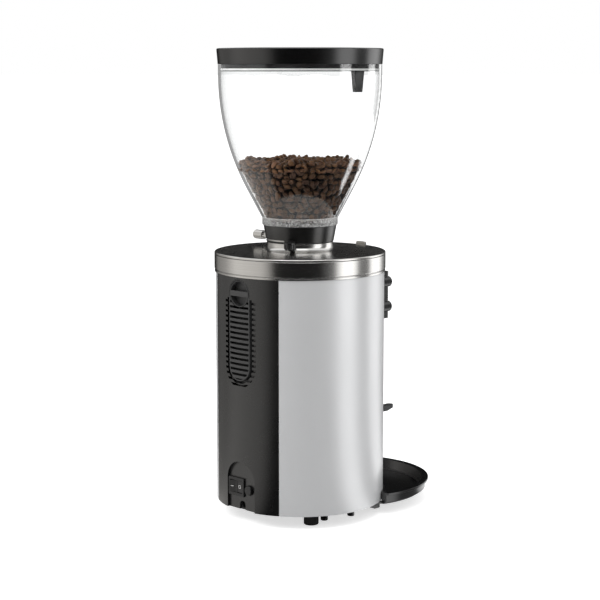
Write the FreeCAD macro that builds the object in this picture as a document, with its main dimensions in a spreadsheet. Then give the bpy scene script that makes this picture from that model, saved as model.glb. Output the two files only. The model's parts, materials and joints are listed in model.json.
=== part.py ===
import FreeCAD, Part
import math
import os
import Sketcher

# Burr coffee grinder for espresso, as it stands on a counter: a round upright body on four feet, a
# polished cap, a bell-shaped bean hopper, a display and a portafilter fork in front, and a drip tray.
# The rear faces +Y. Every piece is drawn about the upright axis of the body.

# Driving dimensions in millimetres and degrees. Heights that end in _level run up from the lower edge
# of the body panels.
SIZES = {
    # Clearances
    "seat_gap": 0.25,
    "slide_gap": 0.3,
    "shaft_gap": 0.05,
    # Body and panels
    "body_radius": 97.4,
    "body_height": 267.0,
    "panel_wall": 2.5,
    "panel_tuck": 1.2,
    "panel_joint": 0.3,
    "rear_half_angle": 31.0,
    "front_half_angle": 31.0,
    # Feet and base
    "foot_height": 15.0,
    "foot_radius": 8.5,
    "foot_rounding": 1.6,
    "foot_stem_radius": 4.0,
    "foot_inset": 24.16,
    "rear_foot_angle": 55.0,
    "front_foot_angle": 35.0,
    "base_recess": 1.0,
    "base_thickness": 5.0,
    "base_rim_height": 14.0,
    "base_rim_wall": 3.0,
    "stud_radius": 4.2,
    "stud_length": 9.0,
    "stud_inset": 12.4,
    "stud_rear_angle": 63.8,
    "stud_side_angle": 88.1,
    "column_radius": 5.0,
    "column_flange_radius": 8.0,
    "column_flange": 3.0,
    "column_inset": 18.6,
    "column_angle": 54.3,
    # Deck that carries the motor and the grinding chamber
    "deck_drop": 41.0,
    "deck_thickness": 8.0,
    "deck_rim_height": 24.0,
    "deck_rim_wall": 3.0,
    # Motor
    "motor_margin": 49.4,
    "motor_height": 122.0,
    "motor_wall": 4.0,
    "motor_end_wall": 6.0,
    "motor_eye_radius": 10.0,
    "bearing_radius": 16.0,
    "bearing_height": 9.0,
    "bearing_boss_wall": 4.0,
    "stator_wall": 15.0,
    "stator_margin": 26.0,
    "air_gap": 0.6,
    "shaft_radius": 8.0,
    "shaft_tip_radius": 7.0,
    # Grinding chamber and burrs
    "chamber_radius": 52.0,
    "chamber_wall": 5.0,
    "chamber_floor": 4.0,
    "chamber_height": 38.0,
    "outlet_half_width": 11.0,
    "outlet_height": 15.0,
    "carrier_lift": 1.2,
    "carrier_height": 8.3,
    "carrier_radius": 41.0,
    "wiper_radius": 45.8,
    "wiper_width": 6.0,
    "burr_radius": 32.5,
    "burr_eye_radius": 18.0,
    "burr_height": 6.6,
    "burr_gap": 0.9,
    "burr_groove_width": 2.4,
    "burr_groove_depth": 1.6,
    "burr_groove_lead": 9.0,
    "carrier_bolt_radius": 9.0,
    "carrier_bolt_height": 9.0,
    "upper_carrier_flange": 8.4,
    "upper_neck_radius": 38.0,
    "upper_neck_height": 15.0,
    "throat_radius": 31.0,
    "ring_radius": 58.0,
    "ring_height": 4.7,
    "lever_half_width": 5.0,
    "lever_thickness": 3.0,
    "lever_stand": 6.5,
    "lever_tab_half_width": 7.0,
    "lever_tab_rise": 2.5,
    "lever_half_swing": 25.0,
    # Cap
    "cap_overhang": 1.35,
    "band_height": 20.2,
    "band_wall": 3.0,
    "band_edge": 0.9,
    "bead_inset": 0.4,
    "bead_height": 2.0,
    "bead_groove": 1.1,
    "bead_groove_depth": 0.6,
    "cover_seam": 0.4,
    "cover_thickness": 2.3,
    "cover_edge": 1.5,
    "cover_rise": 2.0,
    "neck_radius": 38.2,
    "neck_wall": 2.0,
    "neck_rise": 33.4,
    "neck_flare": 6.5,
    # Hopper collar, shutter and lock
    "collar_seam": 0.6,
    "collar_height": 19.3,
    "collar_foot_overhang": 0.7,
    "collar_flare": 3.3,
    "throat_inset": 6.2,
    "collar_spigot_length": 14.0,
    "collar_socket_depth": 8.3,
    "shutter_rise": 1.7,
    "shutter_thickness": 1.6,
    "shutter_slot_end": 12.0,
    "shutter_cover": 2.2,
    "shutter_inset": 0.5,
    "shutter_tongue_half_width": 9.0,
    "shutter_tongue": 15.8,
    "shutter_knob_radius": 5.4,
    "shutter_stem": 5.6,
    "shutter_knob_length": 14.5,
    "shutter_stem_radius": 3.2,
    "lock_knob_radius": 6.3,
    "lock_knob_height": 6.2,
    "lock_knob_offset": 7.4,
    "lock_knob_angle": 30.0,
    "lock_pin_radius": 2.0,
    "lock_lug_height": 1.8,
    # Hopper and lid
    "hopper_wall": 3.0,
    "hopper_spigot_offset": 0.1,
    "hopper_flange": 5.2,
    "hopper_flange_height": 7.4,
    "hopper_foot_flare": 0.6,
    "hopper_cone_angle": 27.7,
    "hopper_radius": 93.2,
    "hopper_curve_radius": 275.7,
    "hopper_rise": 11.5,
    "lid_foot_overhang": 0.3,
    "lid_draft": 1.4,
    "lid_height": 17.8,
    "lid_edge": 1.6,
    "lid_wall": 3.0,
    "lid_dish": 1.2,
    "lid_rim": 8.9,
    "lid_plug_depth": 8.0,
    "lid_plug_gap": 0.6,
    "lid_tab_height": 22.5,
    "lid_tab_top_width": 16.0,
    "lid_tab_foot_width": 10.2,
    "lid_tab_thickness": 4.6,
    "lid_tab_inset": 1.4,
    "lid_tab_shift": 2.5,
    # Rear panel: grille, filter cover and latch
    "latch_drop": 18.5,
    "cover_length": 82.4,
    "cover_half_width": 16.4,
    "cover_groove": 3.4,
    "cover_wall": 1.3,
    "cover_depth": 10.0,
    "cover_flange": 3.0,
    "groove_drop": 5.5,
    "grille_half_width": 24.3,
    "slot_drop": 8.1,
    "slot_pitch": 5.85,
    "slot_height": 2.8,
    "latch_rim": 0.8,
    "latch_gap": 0.8,
    "latch_lip": 0.9,
    "latch_thickness": 9.5,
    "latch_inset": 1.0,
    "latch_recess_depth": 7.0,
    "latch_bar": 6.0,
    "latch_pin_radius": 4.0,
    "latch_bridge": 2.7,
    "latch_cam_reach": 12.5,
    "latch_cam_width": 7.0,
    "filter_thickness": 1.5,
    "filter_drop": 18.5,
    # Fan behind the grille
    "fan_drop": 42.0,
    "fan_half_width": 40.0,
    "fan_inset": 43.4,
    "fan_depth": 20.0,
    "fan_corner": 5.0,
    "fan_bore_radius": 38.0,
    "fan_blade_radius": 36.8,
    "fan_hub_radius": 15.0,
    "fan_blade_width": 13.0,
    "fan_blade_thickness": 1.6,
    "fan_blade_pitch": 38.0,
    "fan_strut": 3.0,
    "fan_pin_radius": 2.5,
    "duct_wall": 2.0,
    "duct_flange": 2.0,
    # Arched recess with the switch, the reset button and the cable outlet
    "recess_depth": 5.4,
    "recess_half_width": 22.3,
    "recess_height": 56.2,
    "recess_wall": 2.0,
    "switch_x": 9.3,
    "switch_level": 25.6,
    "switch_width": 25.4,
    "switch_height": 21.0,
    "switch_bezel": 2.0,
    "switch_body_width": 22.4,
    "switch_body_height": 17.6,
    "switch_body_depth": 24.0,
    "rocker_half_width": 9.3,
    "rocker_height": 13.4,
    "rocker_play_x": 1.0,
    "rocker_play_z": 0.4,
    "rocker_pivot_depth": 1.5,
    "rocker_hub_radius": 3.0,
    "rocker_face": 2.4,
    "rocker_tip": 4.4,
    "rocker_tilt": 9.0,
    "rocker_well_depth": 10.0,
    "reset_x": 11.5,
    "reset_level": 24.2,
    "reset_radius": 5.5,
    "reset_stand": 3.4,
    "reset_length": 9.5,
    "reset_travel": 2.0,
    "breaker_radius": 7.5,
    "breaker_length": 22.0,
    "gland_half_width": 7.0,
    "gland_height": 12.0,
    "gland_length": 12.0,
    "gland_drop": 0.5,
    "cable_radius": 4.0,
    "notch_margin": 0.6,
    # Display in front
    "display_drop": 63.6,
    "display_height": 56.4,
    "display_half_width": 40.5,
    "display_stand": 13.6,
    "display_corner": 5.0,
    "display_edge": 3.0,
    "display_wall": 3.0,
    "glass_half_width": 28.0,
    "glass_height": 43.0,
    "glass_thickness": 1.6,
    "button_radius": 6.25,
    "button_x": 37.6,
    "button_high_rise": 43.6,
    "button_low_rise": 14.0,
    "button_length": 15.2,
    "button_dome": 3.2,
    "board_half_width": 28.0,
    "board_height": 32.0,
    "board_thickness": 1.6,
    "board_inset": 10.8,
    "board_rise": 18.6,
    "board_post_radius": 2.5,
    "board_post_inset": 4.0,
    # Chute and spout
    "chute_wall": 2.0,
    "chute_drop": 91.0,
    "chute_mouth_height": 20.0,
    "chute_inset": 1.1,
    "spout_half_width": 16.0,
    "spout_wall": 2.2,
    "spout_stand": 27.6,
    "spout_drop": 68.0,
    "spout_length": 47.0,
    "spout_back_stand": 6.6,
    "spout_brow": 12.0,
    "spout_corner": 8.0,
    # Portafilter fork on its rail
    "rail_half_width": 10.0,
    "rail_stand": 4.6,
    "rail_low_level": 62.0,
    "rail_high_level": 128.0,
    "fork_level": 96.7,
    "fork_tip_thickness": 2.5,
    "fork_root_thickness": 6.5,
    "fork_half_width": 40.0,
    "fork_gap_half_width": 31.0,
    "fork_stand": 24.2,
    "fork_root_stand": 11.6,
    "carriage_half_width": 14.0,
    "carriage_height": 22.0,
    "carriage_depth": 5.0,
    "clamp_radius": 7.0,
    "clamp_length": 9.0,
    "clamp_screw_radius": 2.5,
    # Drip tray on two rails under the base
    "tray_overlap": 21.4,
    "tray_overhang": 3.85,
    "tray_lip": 3.6,
    "tray_taper": 4.2,
    "tray_rim_level": 10.3,
    "tray_rim_thickness": 2.2,
    "tray_drop": 3.8,
    "tray_floor": 3.0,
    "tray_wall": 3.0,
    "tray_body_gap": 1.2,
    "tray_rear": 48.0,
    "tray_lug_inset": 18.7,
    "tray_lug_width": 5.5,
    "tray_lug_length": 8.0,
    "tray_lug_thickness": 2.5,
    "rail_web": 3.4,
    "rail_drop": 9.5,
    "rail_length": 9.5,
    # Power parts on the base
    "capacitor_radius": 17.0,
    "capacitor_length": 64.0,
    "capacitor_inset": 61.4,
    "power_half_width": 36.0,
    "power_front": 70.0,
    "power_rear": 12.0,
    "power_lift": 6.0,
}

BURR_GROOVES = 18
WIPERS = 3
FAN_BLADES = 7
GRILLE_SLOTS = 17
COVER_SLOTS = 16
LOCK_RIBS = 12
CLAMP_RIBS = 16

doc = FreeCAD.newDocument("burr_grinder")
sheet = doc.addObject("Spreadsheet::Sheet", "Sizes")
for row, (alias, number) in enumerate(SIZES.items(), start=1):
    sheet.set(f"A{row}", alias)
    sheet.set(f"B{row}", str(number))
    sheet.setAlias(f"B{row}", alias)
doc.recompute()


class Size:
    """A length or an angle that follows the sheet: its value now, and the expression behind it."""

    def __init__(self, value, text):
        self.value = value
        self.text = text

    def __add__(self, other):
        other = sized(other)
        return Size(self.value + other.value, f"({self.text} + {other.text})")

    def __sub__(self, other):
        other = sized(other)
        return Size(self.value - other.value, f"({self.text} - {other.text})")

    def __mul__(self, other):
        other = sized(other)
        return Size(self.value * other.value, f"({self.text} * {other.text})")

    def __truediv__(self, other):
        other = sized(other)
        return Size(self.value / other.value, f"({self.text} / {other.text})")

    def __radd__(self, other):
        return sized(other) + self

    def __rsub__(self, other):
        return sized(other) - self

    def __rmul__(self, other):
        return sized(other) * self

    def __neg__(self):
        return sized(0) - self


class Sheet:
    """Gives each driving dimension of the sheet by its alias."""

    def __getattr__(self, alias):
        return Size(float(sheet.get(alias)), "Sizes." + alias)


def sized(number):
    if isinstance(number, Size):
        return number
    text = f"({number})" if number < 0 else f"{number}"
    return Size(float(number), text)


def sine(angle):
    angle = sized(angle)
    return Size(math.sin(math.radians(angle.value)), f"sin({angle.text})")


def cosine(angle):
    angle = sized(angle)
    return Size(math.cos(math.radians(angle.value)), f"cos({angle.text})")


s = Sheet()
UP = FreeCAD.Vector(0, 0, 1)
LEVEL = FreeCAD.Rotation()
TO_REAR = FreeCAD.Rotation(FreeCAD.Vector(1, 0, 0), -90)
TO_FRONT = FreeCAD.Rotation(FreeCAD.Vector(1, 0, 0), 90)
TO_RIGHT = FreeCAD.Rotation(FreeCAD.Vector(0, 1, 0), 90)
SIDEWAYS = FreeCAD.Rotation(FreeCAD.Vector(1, 1, 1), 120)
PASS = 2.0

pieces = []
rest_y = {}


def put(thing, x=0, y=0, z=0, rotation=LEVEL):
    """Places a solid by three sizes and a fixed rotation."""
    thing.Placement = FreeCAD.Placement(FreeCAD.Vector(), rotation)
    for letter, place in zip("xyz", (x, y, z)):
        thing.setExpression("Placement.Base." + letter, sized(place).text)
    rest_y[thing.Name] = sized(y)
    return thing


def spin(thing, angle):
    """Turns a solid about its upright axis."""
    angle = sized(angle)
    thing.Placement.Rotation = FreeCAD.Rotation(UP, angle.value)
    thing.setExpression("Placement.Rotation.Angle", angle.text)
    return thing


def cylinder(radius, height, x=0, y=0, z=0, rotation=LEVEL, sweep=None):
    solid = doc.addObject("Part::Cylinder", "cylinder")
    solid.setExpression("Radius", sized(radius).text)
    solid.setExpression("Height", sized(height).text)
    if sweep is not None:
        solid.setExpression("Angle", sized(sweep).text)
    return put(solid, x, y, z, rotation)


def block(across, along, upright):
    """A block between two x, two y and two z limits."""
    solid = doc.addObject("Part::Box", "block")
    for name, (low, high) in zip(("Length", "Width", "Height"), (across, along, upright)):
        solid.setExpression(name, (sized(high) - low).text)
    return put(solid, across[0], along[0], upright[0])


def fuse(*solids):
    joined = doc.addObject("Part::MultiFuse", "joined")
    joined.Shapes = list(solids)
    joined.Refine = True
    return joined


def cut(solid, *tools):
    trimmed = doc.addObject("Part::Cut", "trimmed")
    trimmed.Base = solid
    trimmed.Tool = fuse(*tools) if len(tools) > 1 else tools[0]
    trimmed.Refine = True
    return trimmed


def common(*solids):
    shared = doc.addObject("Part::MultiCommon", "shared")
    shared.Shapes = list(solids)
    shared.Refine = True
    return shared


def group(*solids):
    """Like pieces that share a name, as separate solids."""
    together = doc.addObject("Part::Compound", "together")
    together.Links = list(solids)
    return together


def draw(sketch, path):
    """Closes a path of corners (u, v) and (u, v, bend); a bend is the radius of the arc to the next
    corner, and turns left where it is positive."""
    spots = [FreeCAD.Vector(sized(corner[0]).value, sized(corner[1]).value, 0) for corner in path]
    ends = []
    for index, corner in enumerate(path):
        start = spots[index]
        stop = spots[(index + 1) % len(path)]
        if len(corner) == 2:
            sketch.addGeometry(Part.LineSegment(start, stop), False)
            ends.append((1, 2))
            continue
        bend = sized(corner[2]).value
        chord = stop - start
        reach = math.sqrt(bend * bend - chord.Length ** 2 / 4)
        left = FreeCAD.Vector(-chord.y, chord.x, 0).normalize()
        centre = (start + stop) * 0.5 + left * math.copysign(reach, bend)
        first, last = (start, stop) if bend > 0 else (stop, start)
        angles = [math.atan2(spot.y - centre.y, spot.x - centre.x) for spot in (first, last)]
        arc = Part.ArcOfCircle(Part.Circle(centre, UP, abs(bend)), angles[0], angles[1])
        sketch.addGeometry(arc, False)
        ends.append((1, 2) if bend > 0 else (2, 1))
    for index, corner in enumerate(path):
        following = (index + 1) % len(path)
        sketch.addConstraint(
            Sketcher.Constraint("Coincident", index, ends[index][1], following, ends[following][0]))
        for kind, axis, place in (("DistanceX", -2, corner[0]), ("DistanceY", -1, corner[1])):
            place = sized(place)
            if place.text == "0":
                sketch.addConstraint(Sketcher.Constraint("PointOnObject", index, ends[index][0], axis))
                continue
            number = sketch.addConstraint(
                Sketcher.Constraint(kind, -1, 1, index, ends[index][0], place.value))
            sketch.setExpression(f"Constraints[{number}]", place.text)
        if len(corner) == 3:
            bend = sized(corner[2])
            if bend.value < 0:
                bend = -bend
            number = sketch.addConstraint(Sketcher.Constraint("Radius", index, bend.value))
            sketch.setExpression(f"Constraints[{number}]", bend.text)


def sketched(plane, path):
    """A body with one sketch on one of its own origin planes."""
    body = doc.addObject("PartDesign::Body", "body")
    sketch = body.newObject("Sketcher::SketchObject", "outline")
    origin = [face for face in body.Origin.OriginFeatures if face.Role == plane][0]
    sketch.AttachmentSupport = [(origin, "")]
    sketch.MapMode = "FlatFace"
    draw(sketch, path)
    return body, sketch


def turned(path, x=0, y=0, z=0, rotation=LEVEL):
    """A solid turned about its own axis from a half section of (radius, height)."""
    body, sketch = sketched("XZ_Plane", path)
    turning = body.newObject("PartDesign::Revolution", "turning")
    turning.Profile = sketch
    turning.ReferenceAxis = (sketch, ["V_Axis"])
    turning.Angle = 360
    return put(body, x, y, z, rotation)


def plate(path, depth, x=0, y=0, z=0, rotation=LEVEL):
    """A plate with a drawn outline: (x, y) up from z when level, (x, z) forward from y when turned
    to the front, (y, z) to +x from x when sideways."""
    body, sketch = sketched("XY_Plane", path)
    pad = body.newObject("PartDesign::Pad", "pad")
    pad.Profile = sketch
    pad.setExpression("Length", sized(depth).text)
    return put(body, x, y, z, rotation)


def rounded(left, right, low, high, corner):
    """A rectangle with four round corners."""
    return [
        (left + corner, low), (right - corner, low, corner), (right, low + corner),
        (right, high - corner, corner), (right - corner, high), (left + corner, high, corner),
        (left, high - corner), (left, low + corner, corner)]


def pill(half_width, low, high, rear_of, depth):
    """An upright pill seen from behind, with round ends about two heights."""
    return fuse(
        cylinder(half_width, depth, 0, rear_of, low, TO_REAR),
        cylinder(half_width, depth, 0, rear_of, high, TO_REAR),
        block((-half_width, half_width), (rear_of, rear_of + depth), (low, high)))


def arch(half_width, crown, foot, rear_of, depth):
    """A round-topped door shape seen from behind."""
    return fuse(
        cylinder(half_width, depth, 0, rear_of, crown - half_width, TO_REAR),
        block((-half_width, half_width), (rear_of, rear_of + depth), (foot, crown - half_width)))


def sector(outer, inner, middle, half_angle, low, high):
    """A curved panel about the axis of the body."""
    sweep = cylinder(outer, high - low, 0, 0, low, LEVEL, half_angle * 2)
    spin(sweep, sized(middle) - half_angle)
    return cut(sweep, cylinder(inner, high - low + 2 * PASS, 0, 0, low - PASS))


def mirrored(make):
    """The same solid on both sides of the middle plane."""
    return make(1), make(-1)


# Radii and levels that follow the body, the neck and the hopper
foot_circle = s.body_radius - s.foot_inset
column_circle = s.body_radius - s.column_inset
motor_radius = s.body_radius - s.motor_margin
capacitor_y = s.body_radius - s.capacitor_inset
cap_radius = s.body_radius + s.cap_overhang
bead_radius = cap_radius - s.bead_inset
lever_reach = cap_radius + s.lever_stand
recess_floor = s.body_radius - s.recess_depth
display_reach = s.body_radius + s.display_stand
board_reach = s.body_radius - s.board_inset
chute_mouth_reach = s.body_radius - s.chute_inset
spout_reach = s.body_radius + s.spout_stand
spout_back_reach = s.body_radius + s.spout_back_stand
rail_reach = s.body_radius + s.rail_stand
fork_reach = s.body_radius + s.fork_stand
fork_root_reach = s.body_radius + s.fork_root_stand
fan_front = s.body_radius - s.fan_inset
stud_circle = s.body_radius - s.stud_inset
tray_centre = s.body_radius - s.tray_overlap
tray_rim_radius = s.body_radius + s.tray_overhang
tray_wall_radius = tray_rim_radius - s.tray_lip
tray_foot_radius = tray_wall_radius - s.tray_taper
tray_lug_inner = s.body_radius - s.tray_lug_inset
tray_lug_outer = tray_lug_inner + s.tray_lug_width
deck_level = s.body_height - s.deck_drop
latch_level = s.body_height - s.latch_drop
cover_low_level = latch_level - s.cover_length
groove_top_level = latch_level - s.groove_drop
slot_top_level = latch_level - s.slot_drop
filter_top_level = latch_level - s.filter_drop
fan_level = deck_level - s.fan_drop
display_level = s.body_height - s.display_drop
button_high_level = display_level + s.button_high_rise
button_low_level = display_level + s.button_low_rise
board_level = display_level + s.board_rise
chute_drop_level = s.body_height - s.chute_drop
spout_top_level = s.body_height - s.spout_drop
spout_foot_level = spout_top_level - s.spout_length
neck_level = s.body_height + s.neck_rise
collar_level = neck_level + s.collar_seam
shutter_level = collar_level + s.shutter_rise
collar_foot_radius = s.neck_radius + s.collar_foot_overhang
collar_top_radius = collar_foot_radius + s.collar_flare
collar_throat_radius = s.neck_radius - s.throat_inset
hopper_spigot_radius = s.neck_radius + s.hopper_spigot_offset
hopper_flange_radius = hopper_spigot_radius + s.hopper_flange
hopper_foot_radius = hopper_flange_radius + s.hopper_foot_flare
lock_knob_circle = s.neck_radius + s.lock_knob_offset
shutter_tongue_reach = s.neck_radius + s.shutter_tongue
shutter_knob_start = shutter_tongue_reach + s.shutter_stem
lid_foot_radius = s.hopper_radius + s.lid_foot_overhang
lid_top_radius = lid_foot_radius + s.lid_draft
lid_dish_radius = lid_top_radius - s.lid_rim
rear_foot_x = foot_circle * sine(s.rear_foot_angle)
rear_foot_y = foot_circle * cosine(s.rear_foot_angle)
front_foot_x = foot_circle * sine(s.front_foot_angle)
front_foot_y = foot_circle * cosine(s.front_foot_angle)
column_x = column_circle * sine(s.column_angle)
column_y = column_circle * cosine(s.column_angle)

axis_y = (tray_centre + tray_rim_radius - cap_radius) / 2


def piece(label, thing):
    """Names a finished sub-part and moves it so that the whole machine is centred on the origin."""
    thing.Label = label
    thing.setExpression("Placement.Base.y", (rest_y.get(thing.Name, sized(0)) + axis_y).text)
    pieces.append(thing)


# Levels and radii that several pieces share
panel_foot = s.foot_height
panel_top = panel_foot + s.body_height + s.panel_tuck
panel_inner = s.body_radius - s.panel_wall
base_foot = panel_foot + s.base_recess
base_top = base_foot + s.base_thickness
base_radius = panel_inner - s.seat_gap
deck_foot = panel_foot + deck_level
deck_top = deck_foot + s.deck_thickness
joint_angle = s.panel_joint / s.body_radius * (90 / math.pi)
foot_places = (
    (rear_foot_x, rear_foot_y), (-rear_foot_x, rear_foot_y),
    (front_foot_x, -front_foot_y), (-front_foot_x, -front_foot_y))
fan_rear = fan_front + s.fan_depth
latch_height = panel_foot + latch_level
cover_low = panel_foot + cover_low_level
opening_half_width = s.cover_half_width + s.cover_groove

# Base plate: moulded disc with a rim inside the panels, open at the rear for the arched recess
recess_back = recess_floor - s.recess_wall
gland_rear = recess_back - s.slide_gap - s.seat_gap
base_disc = turned([
    (0, base_foot), (base_radius, base_foot), (base_radius, base_top + s.base_rim_height),
    (base_radius - s.base_rim_wall, base_top + s.base_rim_height),
    (base_radius - s.base_rim_wall, base_top), (0, base_top)])
recess_room = s.recess_half_width + s.recess_wall + s.slide_gap
base_cuts = [
    block((-recess_room, recess_room), (recess_back - s.slide_gap, s.body_radius),
          (base_foot - PASS, base_top + s.base_rim_height + PASS)),
    block((-recess_room, recess_room), (recess_floor - s.switch_body_depth, s.body_radius),
          (base_top, base_top + s.base_rim_height + PASS)),
    block((-s.gland_half_width - s.seat_gap, s.gland_half_width + s.seat_gap),
          (gland_rear - s.gland_length - s.seat_gap, s.body_radius),
          (base_foot - PASS, base_top + PASS))]
for foot_x, foot_y in foot_places:
    base_cuts.append(cylinder(
        s.foot_stem_radius + s.shaft_gap, s.base_thickness + 2 * PASS, foot_x, foot_y, base_foot - PASS))
piece("base_plate", cut(base_disc, *base_cuts))

# Rubber feet: four round pads with a stem pushed into the base
feet = []
for foot_x, foot_y in foot_places:
    stem_top = base_top - s.slide_gap
    feet.append(turned([
        (0, 0), (s.foot_radius - s.foot_rounding, 0, s.foot_rounding), (s.foot_radius, s.foot_rounding),
        (s.foot_radius, base_foot), (s.foot_stem_radius, base_foot), (s.foot_stem_radius, stem_top),
        (0, stem_top)], foot_x, foot_y))
piece("rubber_feet", group(*feet))

# Base studs: short pegs under the rim that lock the side panels
studs = []
for angle in (s.stud_rear_angle, s.stud_side_angle, -s.stud_rear_angle, -s.stud_side_angle):
    studs.append(turned([
        (0, 0), (s.stud_radius - 1, 0, sized(1)), (s.stud_radius, 1), (s.stud_radius, s.stud_length),
        (0, s.stud_length)],
        stud_circle * sine(angle), stud_circle * cosine(angle), base_foot - s.stud_length))
piece("base_studs", group(*studs))

# Frame columns: four flanged posts from the base to the deck
columns = []
column_height = deck_foot - base_top
for side_x in (1, -1):
    for side_y in (1, -1):
        columns.append(turned([
            (0, 0), (s.column_flange_radius, 0), (s.column_flange_radius, s.column_flange),
            (s.column_radius, s.column_flange), (s.column_radius, column_height - s.column_flange),
            (s.column_flange_radius, column_height - s.column_flange),
            (s.column_flange_radius, column_height), (0, column_height)],
            column_x * side_x, column_y * side_y, base_top))
piece("frame_columns", group(*columns))

# Deck plate: cast disc with a rim, cut away for the chute in front and the filter duct behind
duct_half_width = opening_half_width + s.duct_wall
deck_disc = turned([
    (s.motor_eye_radius, deck_foot), (base_radius, deck_foot), (base_radius, deck_top + s.deck_rim_height),
    (base_radius - s.deck_rim_wall, deck_top + s.deck_rim_height),
    (base_radius - s.deck_rim_wall, deck_top), (s.motor_eye_radius, deck_top)])
chute_half_width = s.outlet_half_width + s.chute_wall
deck_high = deck_top + s.deck_rim_height + PASS
piece("deck_plate", cut(
    deck_disc,
    block((-duct_half_width - PASS, duct_half_width + PASS), (fan_rear - PASS, s.body_radius),
          (deck_foot - PASS, deck_high)),
    block((-s.board_half_width - PASS, s.board_half_width + PASS), (-s.body_radius, -s.chamber_radius - PASS),
          (deck_foot - PASS, deck_high))))

# Side panels: satin silver sheets that wrap the sides between the two black panels
side_half_angle = 90 - (s.rear_half_angle + s.front_half_angle) / 2 - joint_angle
side_turn = (s.rear_half_angle - s.front_half_angle) / 2
piece("side_panel_left", sector(
    s.body_radius, panel_inner, 180 + side_turn, side_half_angle, panel_foot, panel_top))
piece("side_panel_right", sector(
    s.body_radius, panel_inner, -side_turn, side_half_angle, panel_foot, panel_top))

# Rear panel: black moulding with a louvred pill, the filter opening and an arched recess at its foot
slot_top = panel_foot + slot_top_level
switch_height = panel_foot + s.switch_level
reset_height = panel_foot + s.reset_level
cable_height = panel_foot - s.gland_drop + s.gland_height / 2
notch_radius = s.cable_radius + s.notch_margin


def louvres(count, half_width, low_end, high_end):
    """Level slots inside a pill, one pitch apart from the top slot down."""
    rows = []
    for index in range(count):
        high = slot_top - s.slot_pitch * index
        rows.append(block((-half_width, half_width), (fan_rear, s.body_radius + PASS),
                          (high - s.slot_height, high)))
    return common(fuse(*rows), pill(half_width, low_end, high_end, fan_rear, s.body_radius - fan_rear))


rear_shell = sector(
    s.body_radius, panel_inner, 90, s.rear_half_angle - joint_angle, panel_foot, panel_top)
recess_backing = common(
    arch(s.recess_half_width + s.recess_wall, panel_foot + s.recess_height + s.recess_wall, panel_foot,
         recess_back, s.body_radius - recess_back),
    cylinder(s.body_radius - s.panel_wall / 2, s.body_height, 0, 0, panel_foot))
panel_depth = s.body_radius - fan_rear + PASS
opening_top = panel_foot + groove_top_level
cover_fit = s.cover_half_width + s.slide_gap
piece("rear_panel", cut(
    fuse(rear_shell, recess_backing),
    arch(s.recess_half_width, panel_foot + s.recess_height, panel_foot - PASS, recess_floor, panel_depth),
    common(pill(opening_half_width, cover_low, latch_height, fan_rear, panel_depth),
           block((-s.body_radius, s.body_radius), (fan_rear, s.body_radius + PASS),
                 (panel_foot, opening_top))),
    pill(cover_fit, cover_low, latch_height, fan_rear, panel_depth),
    louvres(GRILLE_SLOTS, s.grille_half_width, cover_low, latch_height),
    block((s.switch_x - s.switch_body_width / 2 - s.seat_gap,
           s.switch_x + s.switch_body_width / 2 + s.seat_gap),
          (fan_rear, s.body_radius + PASS),
          (switch_height - s.switch_body_height / 2 - s.seat_gap,
           switch_height + s.switch_body_height / 2 + s.seat_gap)),
    cylinder(s.reset_radius + s.slide_gap, panel_depth, -s.reset_x, fan_rear, reset_height, TO_REAR),
    arch(notch_radius, cable_height + notch_radius, panel_foot - PASS, fan_rear, panel_depth)))

# Filter cover: slatted pill with a rear wall that slides into the duct, and a bridge for the latch
cover_front = s.body_radius - s.cover_depth
cover_inner = s.cover_half_width - s.cover_wall
latch_hole = s.cover_half_width - s.latch_rim
latch_radius = latch_hole - s.latch_gap
cover_skin = cut(
    common(pill(s.cover_half_width, cover_low, latch_height, cover_front, s.cover_depth + PASS),
           sector(s.body_radius, panel_inner, 90, s.rear_half_angle, panel_foot, panel_top)),
    louvres(COVER_SLOTS, cover_inner, cover_low, latch_height),
    cylinder(latch_hole, panel_depth, 0, fan_rear, latch_height, TO_REAR))
cover_tube = cut(
    common(fuse(
        pill(s.cover_half_width, cover_low, latch_height, cover_front, s.cover_depth),
        common(pill(opening_half_width - s.slide_gap, cover_low, latch_height, cover_front, s.cover_flange),
               block((-s.body_radius, s.body_radius), (0, s.body_radius),
                     (panel_foot, opening_top - s.slide_gap)))),
        cylinder(panel_inner + s.panel_wall / 2, s.body_height, 0, 0, panel_foot)),
    pill(cover_inner, cover_low, latch_height, cover_front - PASS, s.cover_depth + 2 * PASS))
latch_face = s.body_radius - s.latch_inset
latch_back = latch_face - s.latch_thickness
bridge_rear = latch_back - s.slide_gap
latch_bridge = cut(
    block((-s.cover_half_width + s.cover_wall / 2, s.cover_half_width - s.cover_wall / 2),
          (bridge_rear - s.latch_bridge, bridge_rear),
          (latch_height - s.latch_cam_width, latch_height + s.latch_cam_width)),
    cylinder(s.latch_pin_radius + s.shaft_gap, panel_depth, 0, fan_rear, latch_height, TO_REAR))
leg_inner = cover_inner + s.cover_wall / 4
leg_outer = s.cover_half_width - s.cover_wall / 4
cover_legs = []
for across in ((leg_inner, leg_outer), (-leg_outer, -leg_inner)):
    cover_legs.append(block(
        across, (bridge_rear - s.latch_bridge, cover_front + s.cover_flange),
        (latch_height - s.latch_cam_width, latch_height)))
piece("filter_cover", fuse(cover_skin, cover_tube, latch_bridge, *cover_legs))

# Dust filter: fine screen inside the cover, behind the slats
filter_rear = cover_front + s.cover_flange
piece("dust_filter", common(
    pill(cover_inner - s.seat_gap, cover_low, latch_height, filter_rear - s.filter_thickness,
         s.filter_thickness),
    block((-s.body_radius, s.body_radius), (0, s.body_radius), (panel_foot, panel_foot + filter_top_level))))

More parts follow.
